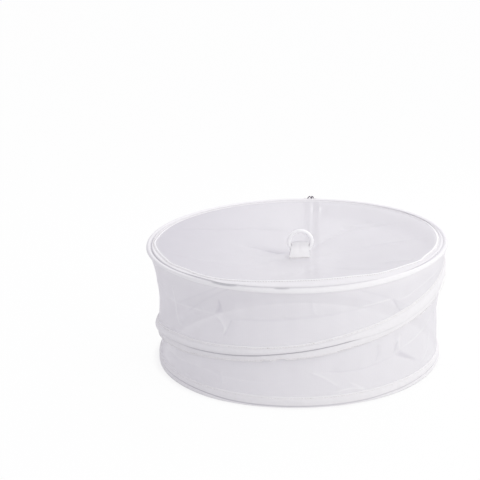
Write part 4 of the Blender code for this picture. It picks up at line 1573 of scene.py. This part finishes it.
class FOODCOVER_OT_hook(bpy.types.Operator):
    """Build the bent wire hook and the thread that holds it"""

    bl_idname = "foodcover.hook"
    bl_label = "Closure Hook"
    bl_options = {"REGISTER", "UNDO"}

    def execute(self, context):
        build_hook(*settings(context))
        return {"FINISHED"}


class FOODCOVER_OT_loop(bpy.types.Operator):
    """Build the elastic loop behind the cover"""

    bl_idname = "foodcover.loop"
    bl_label = "Elastic Loop"
    bl_options = {"REGISTER", "UNDO"}

    def execute(self, context):
        build_elastic_loop(*settings(context))
        return {"FINISHED"}


class FOODCOVER_OT_spring(bpy.types.Operator):
    """Build the spiral's spring wire and its tips"""

    bl_idname = "foodcover.spring"
    bl_label = "Spiral Spring"
    bl_options = {"REGISTER", "UNDO"}

    def execute(self, context):
        build_spring(*settings(context))
        return {"FINISHED"}


class FOODCOVER_OT_hoops(bpy.types.Operator):
    """Give the two wire hoops and their sleeves their finishes"""

    bl_idname = "foodcover.hoops"
    bl_label = "Wire Hoops"
    bl_options = {"REGISTER", "UNDO"}

    def execute(self, context):
        dress_hoops(looks_for(context))
        return {"FINISHED"}


class FOODCOVER_OT_stage(bpy.types.Operator):
    """Build the table, the light and the camera"""

    bl_idname = "foodcover.stage"
    bl_label = "Stage"
    bl_options = {"REGISTER", "UNDO"}

    def execute(self, context):
        build_stage(context.scene, context.scene.food_cover_stage)
        return {"FINISHED"}


class FOODCOVER_PT_panel(bpy.types.Panel):
    """The food cover's sizes, finishes and pieces"""

    bl_idname = "FOODCOVER_PT_panel"
    bl_label = "Food Cover"
    bl_space_type = "VIEW_3D"
    bl_region_type = "UI"
    bl_category = "Food Cover"

    def draw(self, context):
        for group, _ in groups:
            box = self.layout.box()
            values = getattr(context.scene, group)
            for name in values.__annotations__:
                box.prop(values, name)
        for operator in operators:
            self.layout.operator(operator.bl_idname)


groups = (
    ("food_cover_sizes", FoodCoverSizes),
    ("food_cover_finish", FoodCoverFinish),
    ("food_cover_stage", FoodCoverStage),
)
operators = (
    FOODCOVER_OT_stage,
    FOODCOVER_OT_loop,
    FOODCOVER_OT_foot,
    FOODCOVER_OT_spiral,
    FOODCOVER_OT_walls,
    FOODCOVER_OT_seam,
    FOODCOVER_OT_rim,
    FOODCOVER_OT_top,
    FOODCOVER_OT_tab,
    FOODCOVER_OT_ring,
    FOODCOVER_OT_hook,
    FOODCOVER_OT_spring,
    FOODCOVER_OT_hoops,
)


def register():
    for name, group in groups:
        bpy.utils.register_class(group)
        setattr(bpy.types.Scene, name, PointerProperty(type=group))
    for item in (*operators, FOODCOVER_PT_panel):
        bpy.utils.register_class(item)


def unregister():
    for item in (FOODCOVER_PT_panel, *reversed(operators)):
        bpy.utils.unregister_class(item)
    for name, group in reversed(groups):
        delattr(bpy.types.Scene, name)
        bpy.utils.unregister_class(group)


def main():
    register()
    bpy.ops.foodcover.stage()
    bpy.ops.foodcover.loop()
    bpy.ops.foodcover.foot()
    bpy.ops.foodcover.spiral()
    bpy.ops.foodcover.walls()
    bpy.ops.foodcover.seam()
    bpy.ops.foodcover.rim()
    bpy.ops.foodcover.top()
    bpy.ops.foodcover.tab()
    bpy.ops.foodcover.ring()
    bpy.ops.foodcover.hook()
    bpy.ops.foodcover.spring()
    bpy.ops.foodcover.hoops()


if __name__ == "__main__":
    main()
